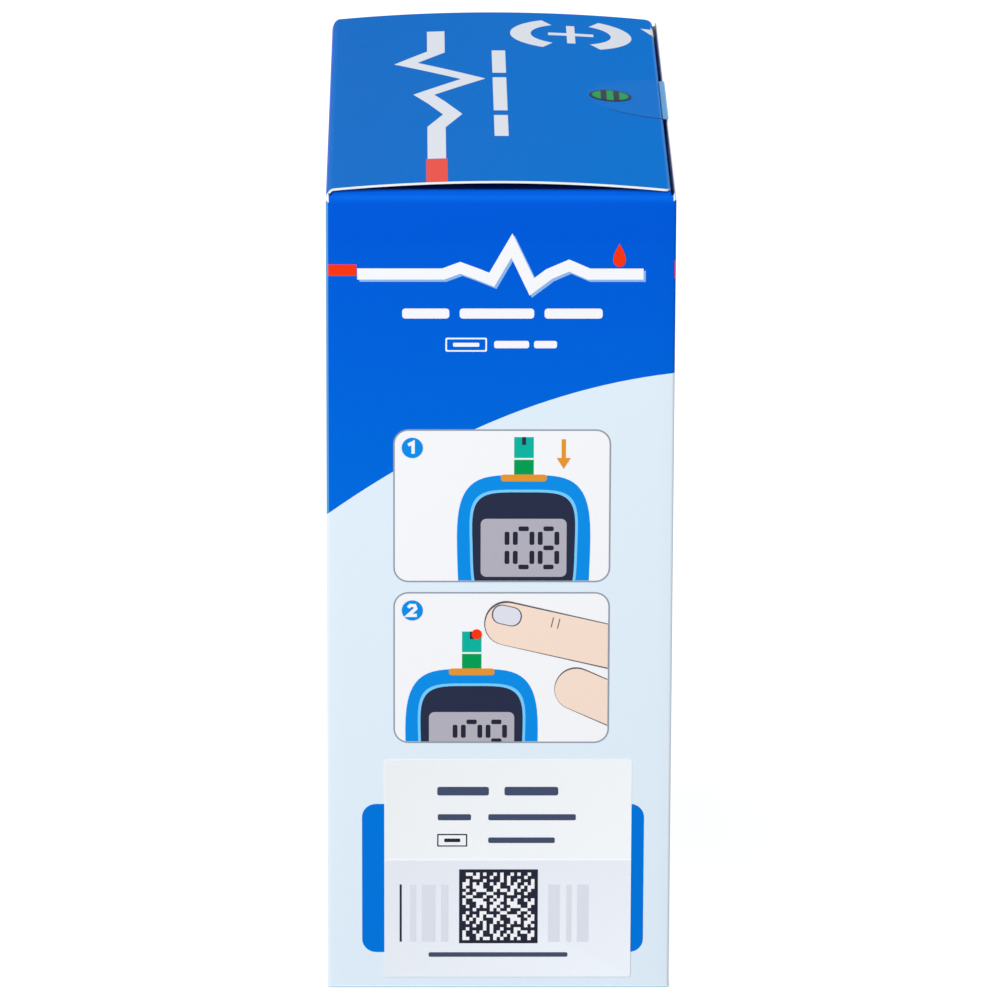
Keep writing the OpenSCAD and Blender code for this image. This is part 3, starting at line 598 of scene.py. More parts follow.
# Tuck flap: a flat strip that hangs from the lid's tuck edge. Its foot rises round a quarter circle
# towards both ends
def makeTuck():
    low, high = nodeBox("tuck_flap")
    corner = carton["tuckCorner"]
    y = low[1] + (high[1] - low[1]) * np.linspace(0, 1, 40)
    reach = np.minimum(y - low[1], high[1] - y)
    bottom = np.minimum(low[2] + cornerFall(corner - reach, corner), high[2] - 0.4)
    z = high[2] + (bottom - high[2]) * np.linspace(0, 1, 6)[:, None]
    sheet = boardSheet(join(high[0], y, z), high[0] - low[0])
    return makePiece("tuckFlap", sheet, [boardWhite, blueInk, boardEdge], "tuck", ["tuck_flap"])


# Dust flap: a flat board with a slanted and a cut-back side, from within the crease on its panel;
# the print runs a little way in over it, painted lighter on the crease as a highlight and darker
# beyond it as painted shade
def makeDustFlap(name, node, body, side):
    low, high = nodeBox(node)
    r = carton["flapRoll"]
    depth = high[1] - low[1] - carton["inset"]
    turn = np.linspace((carton["share"] + 0.04) * pi / 2, pi / 2, 5)[:-1]
    into = np.concatenate([r - r * np.cos(turn), np.linspace(r, depth, 20)])
    z = np.concatenate([flapTop - r + r * np.sin(turn), np.full(20, flapTop)])
    left = low[0] + 0.5 + np.clip(into - 1, 0, None) * 0.7
    right = high[0] - cornerFall(into - depth + 6, 6, 5) + 2.5 * np.clip(r + 1 - into, 0, 1)
    x = left[:, None] + (right - left)[:, None] * np.linspace(0, 1, 20)
    grid = join(x, (side * (halfD - into))[:, None], z[:, None])
    patches = boardSheet(grid[:, ::side], carton["board"], foldSlot=3)
    # On the crease the flap is painted lighter as a highlight, then the print darker as painted shade,
    # then bare board
    printed = np.where(into[:-1] < r, 3, np.where(into[:-1] < carton["flapShadedPrint"], 1, 0))
    patches[0] = (*patches[0][:2], np.repeat(printed, 19).tolist())
    return makePiece(name, patches, [boardWhite, flapShadeInk, boardEdge, foldHighlightInk], body, [node])


# Crease: a thin strip, the middle part of a quarter ellipse, just under the outer faces on both sides
# of a fold. It is drawn by its distance in from the wall and its height
def makeCrease(name, flap, place, reach, top, ends):
    turn = np.radians(np.linspace(28, 60, 25))
    across, up = reach
    outer, inner = (join(across - (across - under) * np.cos(turn),
                         top - up + (up - under) * np.sin(turn)) for under in carton["creaseUnder"])
    ring = np.concatenate([outer, inner[::-1]])
    grid = np.stack([place(ring[:, 0], ring[:, 1], end) for end in ends])
    verts, quads = patch(grid, True)[:2]
    slots = [0] * len(turn) + [1] * (len(turn) - 1) + [0]
    bend = [(grid[0, k] / perMetre).tolist() for k in (6, 18)]
    # The strip's outer face takes the painted highlight of the folds
    return makePiece(name, [(verts, quads, slots), endFace(grid[0]), endFace(grid[1])],
                     [foldHighlightInk, boardWhite], ("carton", flap, *bend))


# Flat board between two heights, with rounded corners and soft edges
def flatBoard(name, node, radius, materials, body):
    low, high = nodeBox(node)
    middle, size = (low + high) / 2, high - low
    soft = min(0.12, size[2] / 3)
    rings = [join(*roundRect(size[0] - 2 * i, size[1] - 2 * i, radius, centre=middle[:2]).T, z)
             for i, z in ((radius + 4, low[2]), (soft, low[2]), (0, low[2] + soft),
                          (0, high[2] - soft), (soft, high[2]), (radius + 4, high[2]))]
    patches = [patch(np.stack(part), True, k) for k, part in ((1, rings[:3]), (2, rings[2:4]),
                                                              (0, rings[3:]))]
    return makePiece(name, patches + [endFace(rings[0], 1), endFace(rings[-1], 0)], materials, body,
                     [node])


makeSleeve()
makeLid()
makeTuck()
for end, side in (("front", -1), ("rear", 1)):
    makeDustFlap(end + "DustFlap", end + "_dust_flap", end + "_dust", side)
makeCrease("lidCrease", "lid", lambda u, z, end: join(u - halfW, end, z), carton["hingeRoll"],
           hingeTop, (lidLow[1] + carton["creaseEnd"], lidHigh[1] - carton["creaseEnd"]))
for end, side in (("front", -1), ("rear", 1)):
    low, high = nodeBox(end + "_dust_flap")
    makeCrease(end + "Crease", end + "_dust", lambda u, z, end: join(end, side * (halfD - u), z),
               (carton["flapRoll"],) * 2, flapTop, (low[0] + 0.8, high[0] + 2.2))
# The base's upright rim is a pale teal: painted shade along the foot
flatBoard("basePanel", "bottom_outer_panel", carton["crease"], [boardWhite, paleInk, footShadeInk],
          "carton")
print("carton done")


# Place on an upright face that looks along (fx, fy): an outline goes across along (-fy, fx) and up
# from a point, and its lift goes along (fx, fy)
def onFace(fx, fy, at):
    def place(outline, lift):
        u, v = np.moveaxis(outline, -1, 0)
        return join(at[0] - fy * u + fx * lift, at[1] + fx * u + fy * lift, at[2] + v)
    return place


# Place on the lid: straight up from its bowed face
def onLid(outline, lift):
    x, y = np.moveaxis(outline, -1, 0)
    return join(x, y, lidTop(x) + lift)


onFront, onRear = onFace(0, -1, (0, -halfD, 0)), onFace(0, 1, (0, halfD, 0))
onLeft, onRight = onFace(-1, 0, (-halfW, 0, 0)), onFace(1, 0, (halfW, 0, 0))


# Each printed shape is a thin closed prism: its outline at the panel, and again as many layers up as
# its level. For a curved place it is a grid: two rows as a strip, four as shrunken outlines
def printOn(name, place, shapes, body, layer=0.02):
    used = [ink for ink in inks if any(ink == shape[1] for shape in shapes)]
    patches = []
    for shape, ink, level in shapes:
        index = used.index(ink)
        sides = [place(shape, lift) for lift in (0.0, layer * level)]
        if shape.ndim == 2:
            patches.append(patch(np.stack(sides), True, index))
            patches += [endFace(side, index) for side in sides]
            continue
        closed = len(shape) == 4
        patches += [patch(side, closed, index) for side in sides]
        if closed:
            patches += [endFace(side[0], index) for side in sides]
            rims = [side[-1] for side in sides]
        else:
            rims = [np.concatenate([side[0], side[-1][::-1]]) for side in sides]
        patches.append(patch(np.stack(rims), True, index))
    return makePiece(name, patches, [inks[ink] for ink in used], body, weld=1e-5)


# Printed boxes, each from a row of what box takes, an ink and a level
def boxes(*rows):
    return [(box(*corners), ink, level) for *corners, ink, level in rows]


# Row of rounded bars in place of words: each starts one gap after the last
def wordBars(x0, y, h, widths, gap, ink="white", level=1):
    shapes = []
    for w in widths:
        shapes += boxes((x0, y - h / 2, x0 + w, y + h / 2, h * 0.3, ink, level))
        x0 += w + gap
    return shapes


# Pulse line: shares of its width and height for a level line with low, tall and deep beats
def pulse(x0, x1, y, h, width):
    beats = np.array([(0, 0), (0.30, 0), (0.36, 0.22), (0.42, 0), (0.47, -0.2), (0.54, 1.0),
                      (0.61, -0.45), (0.67, 0), (0.74, 0.3), (0.81, 0), (1, 0)])
    return stroke(beats * (x1 - x0, h) + (x0, y), width)


# The same in white over a pale copy moved to the lower right, and a drop
def shadedPulse(x0, x1, y, h, width, drop):
    line = pulse(x0, x1, y, h, width)
    return [(line + (0.2 * width, -0.2 * width), "shade", 1), (line, "white", 2),
            (dropShape(*drop), "red", 3)]


# Reading of a display: three numerals of straight bars, each bar at a share of the numeral's width
# and height from its middle
def reading(x, y, gap, w, h, t, level):
    middles = {"a": (0, 0.5), "g": (0, 0), "d": (0, -0.5), "f": (-0.5, 0.25), "b": (0.5, 0.25),
               "e": (-0.5, -0.25), "c": (0.5, -0.25)}
    shapes = []
    for i, bars in enumerate(("bc", "abcdef", "abcdefg")):
        for dx, dy in (middles[bar] for bar in bars):
            size = (t, h / 2 - t * 1.3) if dx else (w - t * 1.3, t)
            centre = (x + (i - 1) * gap + dx * w, y + dy * h)
            shapes.append((roundRect(*size, t * 0.3, 2, centre), "black", level))
    return shapes


# Generic meter, drawn upright about a point: a soft shell, a dark window, a grey display with
# numerals and two buttons
def drawnMeter(x, y, w):
    middle = (x, y + w * 0.2)
    return [(squircle(w, w * 1.5, 4.0, 0.1, (x, y)), "azure", 3),
            (squircle(w * 0.80, w * 0.88, 4.5, 0.06, middle), "cyan", 4),
            (squircle(w * 0.76, w * 0.84, 4.5, 0.06, middle), "navy", 5),
            (roundRect(w * 0.62, w * 0.44, w * 0.04, 4, middle), "glass", 6),
            *reading(*middle, w * 0.18, w * 0.12, w * 0.29, w * 0.035, 7),
            *((roundRect(w * 0.24, w * 0.13, w * 0.06, 5, (x + side * w * 0.17, y - w * 0.45)),
               "white", 4) for side in (-1, 1))]


# Test strip standing on end: a green half, a teal half, a thin pale line and a dark mouth
def drawnStrip(x, y, w, l, level=3):
    return boxes((x - w / 2, y, x + w / 2, y + l * 0.5, "green", level),
                 (x - w / 2, y + l * 0.5, x + w / 2, y + l, "teal", level),
                 (x - w / 2, y + l * 0.47, x + w / 2, y + l * 0.51, "white", level + 1),
                 (x - w * 0.1, y + l * 0.82, x + w * 0.1, y + l, "navy", level + 1))


# Drawn numbers from 1 to 5, each as one or two lines
numberLines = (
    [[(-0.75, 0.55), (0.15, 1.05), (0.15, -1.1)]],
    [[(-0.75, 0.55), (-0.35, 1.0), (0.45, 0.95), (0.65, 0.35), (-0.75, -0.95), (0.85, -0.95)]],
    [[(-0.7, 0.95), (0.65, 0.95), (-0.05, 0.2), (0.6, -0.05), (0.6, -0.65), (0.1, -1.0),
      (-0.7, -0.85)]],
    [[(0.25, 1.0), (-0.75, -0.3), (0.8, -0.3)], [(0.25, 0.1), (0.25, -1.1)]],
    [[(0.65, 0.95), (-0.5, 0.95), (-0.6, 0.15), (0.3, 0.2), (0.65, -0.35), (0.3, -0.95),
      (-0.7, -0.9)]])


# Framed white panel with a numbered badge, and shapes cut off at its edge
def framedPanel(x0, y0, number, shapes):
    x1, y1 = x0 + 40, y0 + 29.5
    badge = (x0 + 3.5, y1 - 3.55)
    inner = box(x0 + 0.35, y0 + 0.35, x1 - 0.35, y1 - 0.4, 2.4, 8)
    cut = [(clip(outline, inner), ink, level) for outline, ink, level in shapes]
    return [*boxes((x0, y0, x1, y1, 2.8, 8, "grey", 1),
                   (x0 + 0.3, y0 + 0.3, x1 - 0.3, y1 - 0.3, 2.5, 8, "white", 2)),
            (disc(*badge, 1.95), "azure", 6),
            (stroke(np.array(numberLines[number - 1][0]) + badge, 0.62), "white", 7),
            *(shape for shape in cut if shape[0] is not None)]


# Meter with a strip in its port, by the middle of its upper edge
def stepMeter(x, top):
    w = 25.5
    return [*drawnStrip(x, top - 0.9, 3.6, 8.2), *drawnMeter(x, top - 0.75 * w, w),
            *boxes((x - 4.2, top - 1.2, x + 4.2, top + 0.1, 0.5, "orange", 4))]


# First panel: a meter whose foot is cut off by the frame, a strip, and an arrow down
def firstStep(x, y):
    meterX, top = x + 24.0, y + 20.725
    arrow = np.array([(meterX + dx, top + dy) for dx, dy in ((6.0, 3.3), (7.3, 1.2), (8.6, 3.3))])
    shapes = stepMeter(meterX, top) + boxes((meterX + 6.9, top + 3.2, meterX + 7.7, top + 6.9,
                                             "orange", 3))
    return framedPanel(x, y, 1, [*shapes, (arrow, "orange", 4)])


# Second panel: a fingertip leans in from the right and gives a drop to the strip of a meter at the
# lower left. Finger, thumb and nail are turned rounded boxes, each over a slightly larger dark one
def secondStep(x, y):
    meterX, top, lean = x + 14.5, y + 14.525, -13
    tipX, tipY = meterX + 2.6, top + 9.7
    finger = turned(roundRect(34, 8.2, 4.0, 9, (tipX + 17, tipY)), lean, tipX, tipY)
    thumb = turned(roundRect(18, 8.0, 3.9, 9, (x + 38.5, y + 8.5)), -24, x + 38.5, y + 8.5)
    nail = turned(roundRect(5.6, 3.8, 1.8, 7, (tipX + 3.6, tipY + 1.6)), lean, tipX, tipY)
    shapes = stepMeter(meterX, top)
    for shape, level in ((thumb, 3), (finger, 5)):
        shapes += [(grown(shape, (1.012, 1.05)), "line", level), (shape, "skin", level + 1)]
    for wrinkle in (tipX + 12.0, tipX + 13.2):
        bar = box(wrinkle, tipY + 1.2, wrinkle + 0.18, tipY + 3.2)
        shapes.append((turned(bar, lean, tipX, tipY), "line", 7))
    shapes += [(nail, "line", 7), (grown(nail, 0.91), "faint", 8),
               (disc(meterX + 0.9, top + 6.8, 0.95, 20), "red", 9)]
    return framedPanel(x, y, 2, shapes)


# Name place of a narrow panel: a bold pulse line and a drop, and two rows of bars under it
def namePlace():
    return [*shadedPulse(-26.2, 26.0, 139.0, 5.4, 2.1, (21.6, 142.6, 4.4)),
            *wordBars(-18.0, 131.5, 1.9, (8.6, 13.6, 10.6), 1.9),
            *boxes((-10.1, 124.25, -2.5, 126.9, 0.3, "white", 1),
                   (-9.8, 124.55, -2.8, 126.6, 0.2, "blue", 2),
                   (-8.7, 125.2, -3.9, 125.95, 0.2, "white", 3)),
            *wordBars(-1.2, 125.6, 1.4, (6.4, 4.2), 0.9)]


# Front: name place, two panels of use, and the rounded field behind the label
def frontPrint():
    shapes = [*namePlace(), *firstStep(-19.65, 79.9), *secondStep(-19.65, 48.5),
              *boxes((-25.5, 7.1, 27.0, 36.5, 2.6, 8, "sky", 1))]
    printOn("frontPrint", onFront, shapes, "carton")


# Lid: a red bar, a bold pulse line up the panel, three bars beside it, a plus in a ring of two arcs,
# and a small pale triangle where the ink is chipped off
def lidPrint():
    line = [(-11.65, -46.4), (-11.65, -24), (-8.6, -15), (-11.65, -6), (-14.0, 0), (-4.6, 11),
            (-17.4, 24), (-11.65, 32), (-11.65, 48)]
    bands = [(line, 3.4), *(([(0.4, a), (0.4, b)], 2.6) for a, b in ((-31, -16), (-12.5, 12),
                                                                     (15.5, 32.5))),
             ([(14.6, 39.5), (14.6, 53)], 1.6), ([(10.2, 46.3), (13.8, 46.3)], 1.9),
             ([(15.4, 46.3), (19.0, 46.3)], 1.9)]
    pale = [band(*row) for row in bands] + [np.array([(28.4, 54.9), (30.34, 50.4), (30.34, 54.6)])]
    for start in (-62, 118):
        turn = np.radians(np.linspace(start, start + 124, 28))
        pale.append(np.stack([onCircle(14.6, 46.3, r, turn) for r in (11.8, 7.8)]))
    shapes = [(band([(-11.65, -62.4), (-11.65, -46.6)], 3.9), "coral", 1),
              *((shape, "mist", 1) for shape in pale)]
    printOn("lidPrint", onLid, shapes, "lid")


# Broad panel: pulse line and bars above, and under them a large generic meter with its strip, three
# notes marked with a drop, and bars on a rounded field
def broadPrint(name, place):
    shapes = [*shadedPulse(-44.8, 44.8, 139.7, 8.5, 2.2, (36, 145.4, 5.2)),
              *wordBars(-24, 129.4, 2.6, (13, 20, 11), 2.6), *drawnMeter(-26.0, 62.0, 52.0),
              *drawnStrip(-26.0, 99.0, 9.0, 17.0, 2), *boxes((11, 9, 55, 33, 2.6, 8, "sky", 1))]
    for y in (92, 70, 48):
        shapes += [(disc(16.0, y, 3.4), "azure", 1), (disc(16.0, y, 2.7), "white", 2),
                   (dropShape(16.0, y, 3.6), "red", 3),
                   *wordBars(22.5, y + 1.8, 1.7, (12, 16), 1.5, "azure"),
                   *wordBars(22.5, y - 1.8, 1.7, (9, 7, 8), 1.5, "grey")]
    for y, widths in ((27, (10, 14)), (22.5, (17, 9)), (18, (8, 12, 6))):
        shapes += wordBars(15, y, 1.6, widths, 1.5, "white", 2)
    printOn(name, place, shapes, "carton", layer=0.012)


# Rear: name place, a panel of bars, and three small marks on a rounded field
def rearPrint():
    shapes = [*namePlace(), *boxes((-24, 44, 24, 86, 2.6, 8, "white", 1),
                                   (-24, 8, 24, 36, 2.6, 8, "sky", 1))]
    for k in range(7):
        shapes += wordBars(-20, 81 - 5.2 * k, 1.4, (9 + k % 3 * 2, 12 - k % 2 * 3, 8), 1.4, "grey", 2)
    for x, ink in ((-15, "white"), (0, "cyan"), (15, "white")):
        shapes += [(squircle(9, 9, 3, 0, (x, 24)), ink, 2),
                   *wordBars(x - 3.5, 14.5, 1.3, (3, 3), 1, "white", 2)]
    printOn("rearPrint", onRear, shapes, "carton")


frontPrint()
lidPrint()
broadPrint("leftPrint", onLeft)
broadPrint("rightPrint", onRight)
rearPrint()

labels = {"front_label": (0.0, 0.085), "code_sticker": (0.08, 0.15)}    # back and face, off the panel


# Thin label: its rounded outline at its back, at its rim, and a little further in at its face
def makeLabel(name, node, material):
    low, high = nodeBox(node)
    (w, _, h), (x, _, z) = high - low, (low + high) / 2
    back, face = labels[node]
    rings = [onFront(roundRect(w - 2 * i, h - 2 * i, 0.5, 6, (x, z)), lift)
             for i, lift in ((0.0, back), (0.0, face + 0.01), (0.03, face))]
    return makePiece(name, [patch(np.stack(rings), True), endFace(rings[0]), endFace(rings[-1])],
                     [material], "carton", [node])


# Lattice square: a cell is white by what is left when two sums of its row and column are divided, so
# it looks like a printed code and holds nothing
def latticeSquare(x0, y0, size, cells=21):
    cell = size / (cells + 2)
    shapes = boxes((x0, y0, x0 + size, y0 + size, "black", 1))
    for i in range(cells):
        for j in range(cells):
            if (i * i + 3 * j + i * j) % 5 in (1, 3) or (i + 2 * j) % 7 == 0:
                centre = (x0 + (i + 1.5) * cell, y0 + (j + 1.5) * cell)
                shapes.append((roundRect(cell, cell, 0.01, 1, centre), "white", 2))
    return shapes


# Print on a label's face
def printLabel(name, node, shapes):
    place = onFace(0, -1, (0, -halfD - labels[node][1], 0))
    printOn(name, place, shapes, "carton")


makeLabel("frontLabel", "front_label", labelPaper)
makeLabel("codeSticker", "code_sticker", stickerPaper)
printLabel("labelPrint", "front_label", boxes(
    (-11.5, 38.2, -1.9, 39.9, 0.4, "slate", 1), (1.0, 38.2, 11.0, 39.9, 0.4, "slate", 1),
    (-11.4, 33.3, -5.2, 34.5, 0.3, "slate", 1), (-2.0, 33.3, 14.3, 34.5, 0.3, "slate", 1),
    (-11.5, 28.1, -5.9, 30.6, 0.1, "black", 1), (-2.0, 28.8, 10.4, 29.9, 0.3, "slate", 1),
    (-11.25, 28.35, -6.15, 30.35, 0.1, "white", 2), (-10.2, 29.0, -7.2, 29.7, 0.2, "black", 3)))
printLabel("stickerPrint", "code_sticker", latticeSquare(-7.4, 8.9, 14.7) + boxes(
    (-13.1, 6.2, 12.9, 7.1, 0.3, "slate", 1), (-18.5, 9.2, -18.1, 20.6, "black", 1),
    *((x, 9.2, x + w, 20.6, "faint", 1) for x, w in ((-16.6, 1.2), (-14.4, 2.6), (-10.8, 1.4),
                                                     (9.2, 2.2), (12.6, 1.0), (14.6, 2.2)))))

clearFilm = surface("clear_film", rgb(120, 180, 235), rough=0.3, Alpha=0.02, Specular_IOR_Level=0.02)
# Painted shade along the seal's near rim, and a painted reflection over the slit
filmEdgeShade = surface("film_edge_painted_shade", rgb(12, 56, 128), rough=0.5, Specular_IOR_Level=0.02)
filmSlitReflection = surface("film_over_slit_painted_reflection", rgb(84, 166, 224), rough=0.3, Alpha=0.9,
                       Specular_IOR_Level=0.05)


# Clear seal: chords of a circle laid over the tuck edge, following the bow, level across the slit and
# straight down the wall. A dark line along part of its near rim is painted shade where the rim has
# lifted, and the band over the slit is a paler blue as a painted reflection
def makeSeal():
    low, high = nodeBox("clear_seal")
    radius, centreY = (high[1] - low[1]) / 2, (high[1] + low[1]) / 2
    bendX, wallX = lidHigh[0], sleeveHigh[0] + 0.03
    turn = np.linspace(0, pi / 2, 22)
    across = np.concatenate([-radius * np.cos(turn), radius * np.sin(turn[1:])])
    half = np.sqrt(np.clip(radius ** 2 - across ** 2, 0, None))
    span = wallX - bendX
    x = np.minimum(bendX + across, wallX)
    z = np.where(across < 0, lidTop(bendX + across) + 0.03,
                 lidTop(bendX) + 0.05 - np.clip(across - span, 0, None))
    share = np.concatenate([[-1, -0.97], np.linspace(-0.94, 1, 23)])
    grid = join(x[:, None], centreY + half[:, None] * share, z[:, None])
    patches = boardSheet(grid, -0.05, 0, 0, 0)
    verts, quads, slots = patches[0]
    slots = np.array(slots).reshape(len(x) - 1, -1)
    slots[(across[:-1] > -10.5) & (across[:-1] < -1.0), 0] = 1
    slots[(across[:-1] > -0.9) & (across[:-1] < span + 0.8)] = 2
    patches[0] = verts, quads, slots.ravel().tolist()
    return makePiece("clearSeal", patches, [clearFilm, filmEdgeShade, filmSlitReflection], "lid", ["clear_seal"])


# Round sticker: a dark disc, a green one in it, and two bars across
def makeDot():
    low, high = nodeBox("round_sticker")
    r, (x, y) = (high[1] - low[1]) / 2, (low[:2] + high[:2]) / 2
    shapes = [(disc(x, y, r), "navy", 6), (disc(x, y, r * 0.86), "green", 7),
              *boxes((x - 1.8, y - 3.4, x - 0.7, y + 3.4, 0.2, "navy", 8),
                     (x + 0.6, y - 3.4, x + 1.7, y + 3.4, 0.2, "navy", 8))]
    dot = printOn("roundSticker", onLid, shapes, "lid")
    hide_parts("round_sticker")


makeSeal()
makeDot()
print("print and labels done")

moulded = {"bump": 0.12, "fine": 3000.0, "cloud": 45.0, "depth": 0.03, "Specular_IOR_Level": 0.4}
metal = {"Metallic": 1.0, "bump": 0.15, "depth": 0.12, "fine": 2600.0}
finishes = {"printed_board": boardWhite, "paper_label": labelPaper, "clear_film": clearFilm,
            "green_film": inks["green"]}
for name, colour, rough, settings in (
        ("blue_plastic", (10, 132, 226), 0.34, moulded),
        ("dark_plastic", (38, 42, 54), 0.5, moulded),
        ("white_plastic", (236, 239, 242), 0.4, moulded),
        ("light_blue_plastic", (120, 196, 240), 0.36, moulded),
        ("natural_plastic", (226, 232, 234), 0.42, {**moulded, "Subsurface_Weight": 0.15}),
        ("orange_plastic", (240, 140, 40), 0.38, moulded),
        ("rear_blue", (8, 112, 204), 0.46, moulded),
        ("gold_contact", (232, 186, 96), 0.28, metal),
        ("spring_steel", (192, 196, 202), 0.3, metal),
        ("cell_steel", (206, 208, 212), 0.26, metal),
        ("plain_board", (226, 224, 218), 0.8,
         {"bump": 0.35, "cloud": 90.0, "fine": 2400.0, "depth": 0.08, "Specular_IOR_Level": 0.15}),
        ("booklet_paper", (240, 240, 236), 0.7,
         {"bump": 0.5, "shade": ridge,
          "extra": {"X": 1.0, "Z": 0.0, "Count": 6000.0, "Depth": 0.16}}),
        ("lcd_glass", (178, 184, 182), 0.22, {"bump": 0.05, "cloud": 20.0, "fine": 5000.0}),
        ("elastomer", (200, 204, 210), 0.7, {"bump": 0.2, "cloud": 60.0, "fine": 2000.0}),
        ("board_green", (16, 96, 62), 0.35,
         {"bump": 0.3, "cloud": 260.0, "fine": 1500.0, "depth": 0.3, "low": rgb(24, 124, 78),
          "lowAt": (0.02, 0.1)}),
        ("chip_black", (30, 31, 34), 0.55, {"bump": 0.3, "cloud": 200.0, "fine": 4000.0}),
        ("strip_print", (16, 184, 166), 0.4,
         {"bump": 0.1, "fine": 2500.0, "depth": 0.05, "low": rgb(8, 156, 84),
          "lowAt": (0.0404, 0.0408)}),
        ("grip_plastic", (236, 239, 242), 0.5,
         {"bump": 0.9, "shade": ridge, "reach": 0.0006, "extra": {"Count": 480.0, "Depth": 0.06},
          "Specular_IOR_Level": 0.3})):
    finishes[name] = surface(name, rgb(*colour), rough, **settings)
finishes["lens_plastic"] = finishes["dark_plastic"]
inks.update({"shell": finishes["blue_plastic"], "dark": finishes["dark_plastic"]})
ownFinish = {"cocking_sleeve": "grip_plastic", "rear_shell": "rear_blue",
             "release_button": "orange_plastic", "nose_cap": "light_blue_plastic",
             "twist_off_caps": "light_blue_plastic", "vial_cap": "blue_plastic",
             "lcd_frame": "dark_plastic"}
for solid in list(bpy.data.objects):
    if solid.type == "MESH":
        for place in solid.material_slots:
            plain = place.material.name.split(".")[0] if place.material else ""
            if plain in finishes and place.material is not finishes[plain]:
                place.material = finishes[ownFinish.get(solid.name, plain)]
print("finishes done")

meter = {"x": 1.1, "foot": 17.1, "signRadius": 1.9,
         "lens": (40.0, 46.0, 5.0, 52.5),   # width, height, power, height of its middle
         "window": (29.6, 25.6, 9.0, 50.0),
         "keys": (9.0, 17.0),               # across from the middle and up
         "front": -36.99, "display": -34.7, "keyFront": -37.68,     # depths of the printed places
         "rearLabel": -16.4, "cover": -16.52, "cell": -21.12}


# Place on the meter's front at a given depth, measured across from its middle and up from its foot
def onMeter(depth):
    return onFace(0, -1, (meter["x"], depth, meter["foot"]))


# The same on its rear
def onMeterRear(depth):
    return onFace(0, 1, (meter["x"], depth, meter["foot"]))


lensDark = surface("lens_surround", rgb(26, 32, 54), rough=0.16, bump=0.03, cloud=20.0, depth=0.05,
                   Coat_Weight=0.6)
lensClear = surface("lens_window", rgb(244, 248, 252), rough=0.12, depth=0.0, Transmission_Weight=1.0,
                    IOR=1.2)


# Lens: superellipses from the back of its window round its rolled edge to the front of the window, and
# a clear pane in the window
def makeLens():
    low, high = nodeBox("display_lens")
    w, h, power, y = meter["lens"]
    windowW, windowH, windowPower, windowY = meter["window"]
    window = squircle(windowW, windowH, windowPower, 0, (0, windowY), 96)
    front, back = low[1] + 0.02, high[1] - 0.02
    outer = [(squircle(w - 2 * inset, h - 2 * inset, power, 0, (0, y), 96), depth) for inset, depth in
             ((0.1, back), (0.02, front + 0.45), (0.12, front + 0.16), (0.4, front))]
    rings = [(window, back), *outer, (window, front)]
    patches = [patch(np.stack([onMeter(depth)(outline, 0) for outline, depth in rings]), True)]
    for depth in (back, front):
        pane = onMeter(depth)(filled(window), 0)
        patches += [patch(pane, True, 1), endFace(pane[0], 1)]
    return makePiece("meterLens", patches, [lensDark, lensClear], "meter", ["display_lens"])


# Display: three large numerals, a battery sign, a drop and a strip mark over them, and short bars under
def displayPrint():
    bars = [(4.6, 2.2, 0.4, 3, (-11.2, 60.2)), (0.7, 1.2, 0.2, 2, (-8.5, 60.2)),
            (6.5, 1.1, 0.3, 3, (10.0, 60.2)), (2.0, 2.4, 0.3, 3, (13.2, 60.2)),
            *((w, 0.8, 0.3, 3, (x, 38.6)) for w, x in ((4.5, -10), (3.0, -4.5), (5.5, 9.0)))]
    shapes = [*reading(0.0, 48.6, 9.0, 6.2, 14.5, 1.5, 1), (dropShape(0, 60.2, 3.2), "black", 1),
              *((roundRect(*bar), "black", 1) for bar in bars)]
    printOn("displayMarks", onMeter(meter["display"]), shapes, "meter", 0.03)


# Marks on the shell: a pale line round the lens and a drop under it
def shellPrint():
    w, h, power, y = meter["lens"]
    rings = np.stack([squircle(w + grow, h + grow, power, 0, (0, y), 120) for grow in (1.0, 1.9)])
    shapes = [(np.concatenate([rings, rings[:, :1]], axis=1), "cyan", 1),
              (dropShape(0, 24.2, 4.2), "red", 1)]
    printOn("shellMarks", onMeter(meter["front"]), shapes, "meter", 0.04)


# Key marks: a power sign of an arc and a bar, and an arrow of two strokes
def keyPrint():
    across, up = meter["keys"]
    turn = np.radians(np.linspace(125, 415, 30))
    ring = stroke(onCircle(-across, up, meter["signRadius"], turn), 0.55)
    power = [(np.stack([ring[:30], ring[30:][::-1]]), "azure", 1),
             *boxes((-across - 0.28, up + 0.2, -across + 0.28, up + 2.6, "azure", 2))]
    arrow = band([(across - 1.1, up + 1.9), (across + 1.1, up), (across - 1.1, up - 1.9)], 0.7)
    place = onMeter(meter["keyFront"])
    for side, shapes in (("left", power), ("right", [(arrow, "azure", 1)])):
        printOn(side + "KeyMark", place, shapes, side + "_key", 0.04)


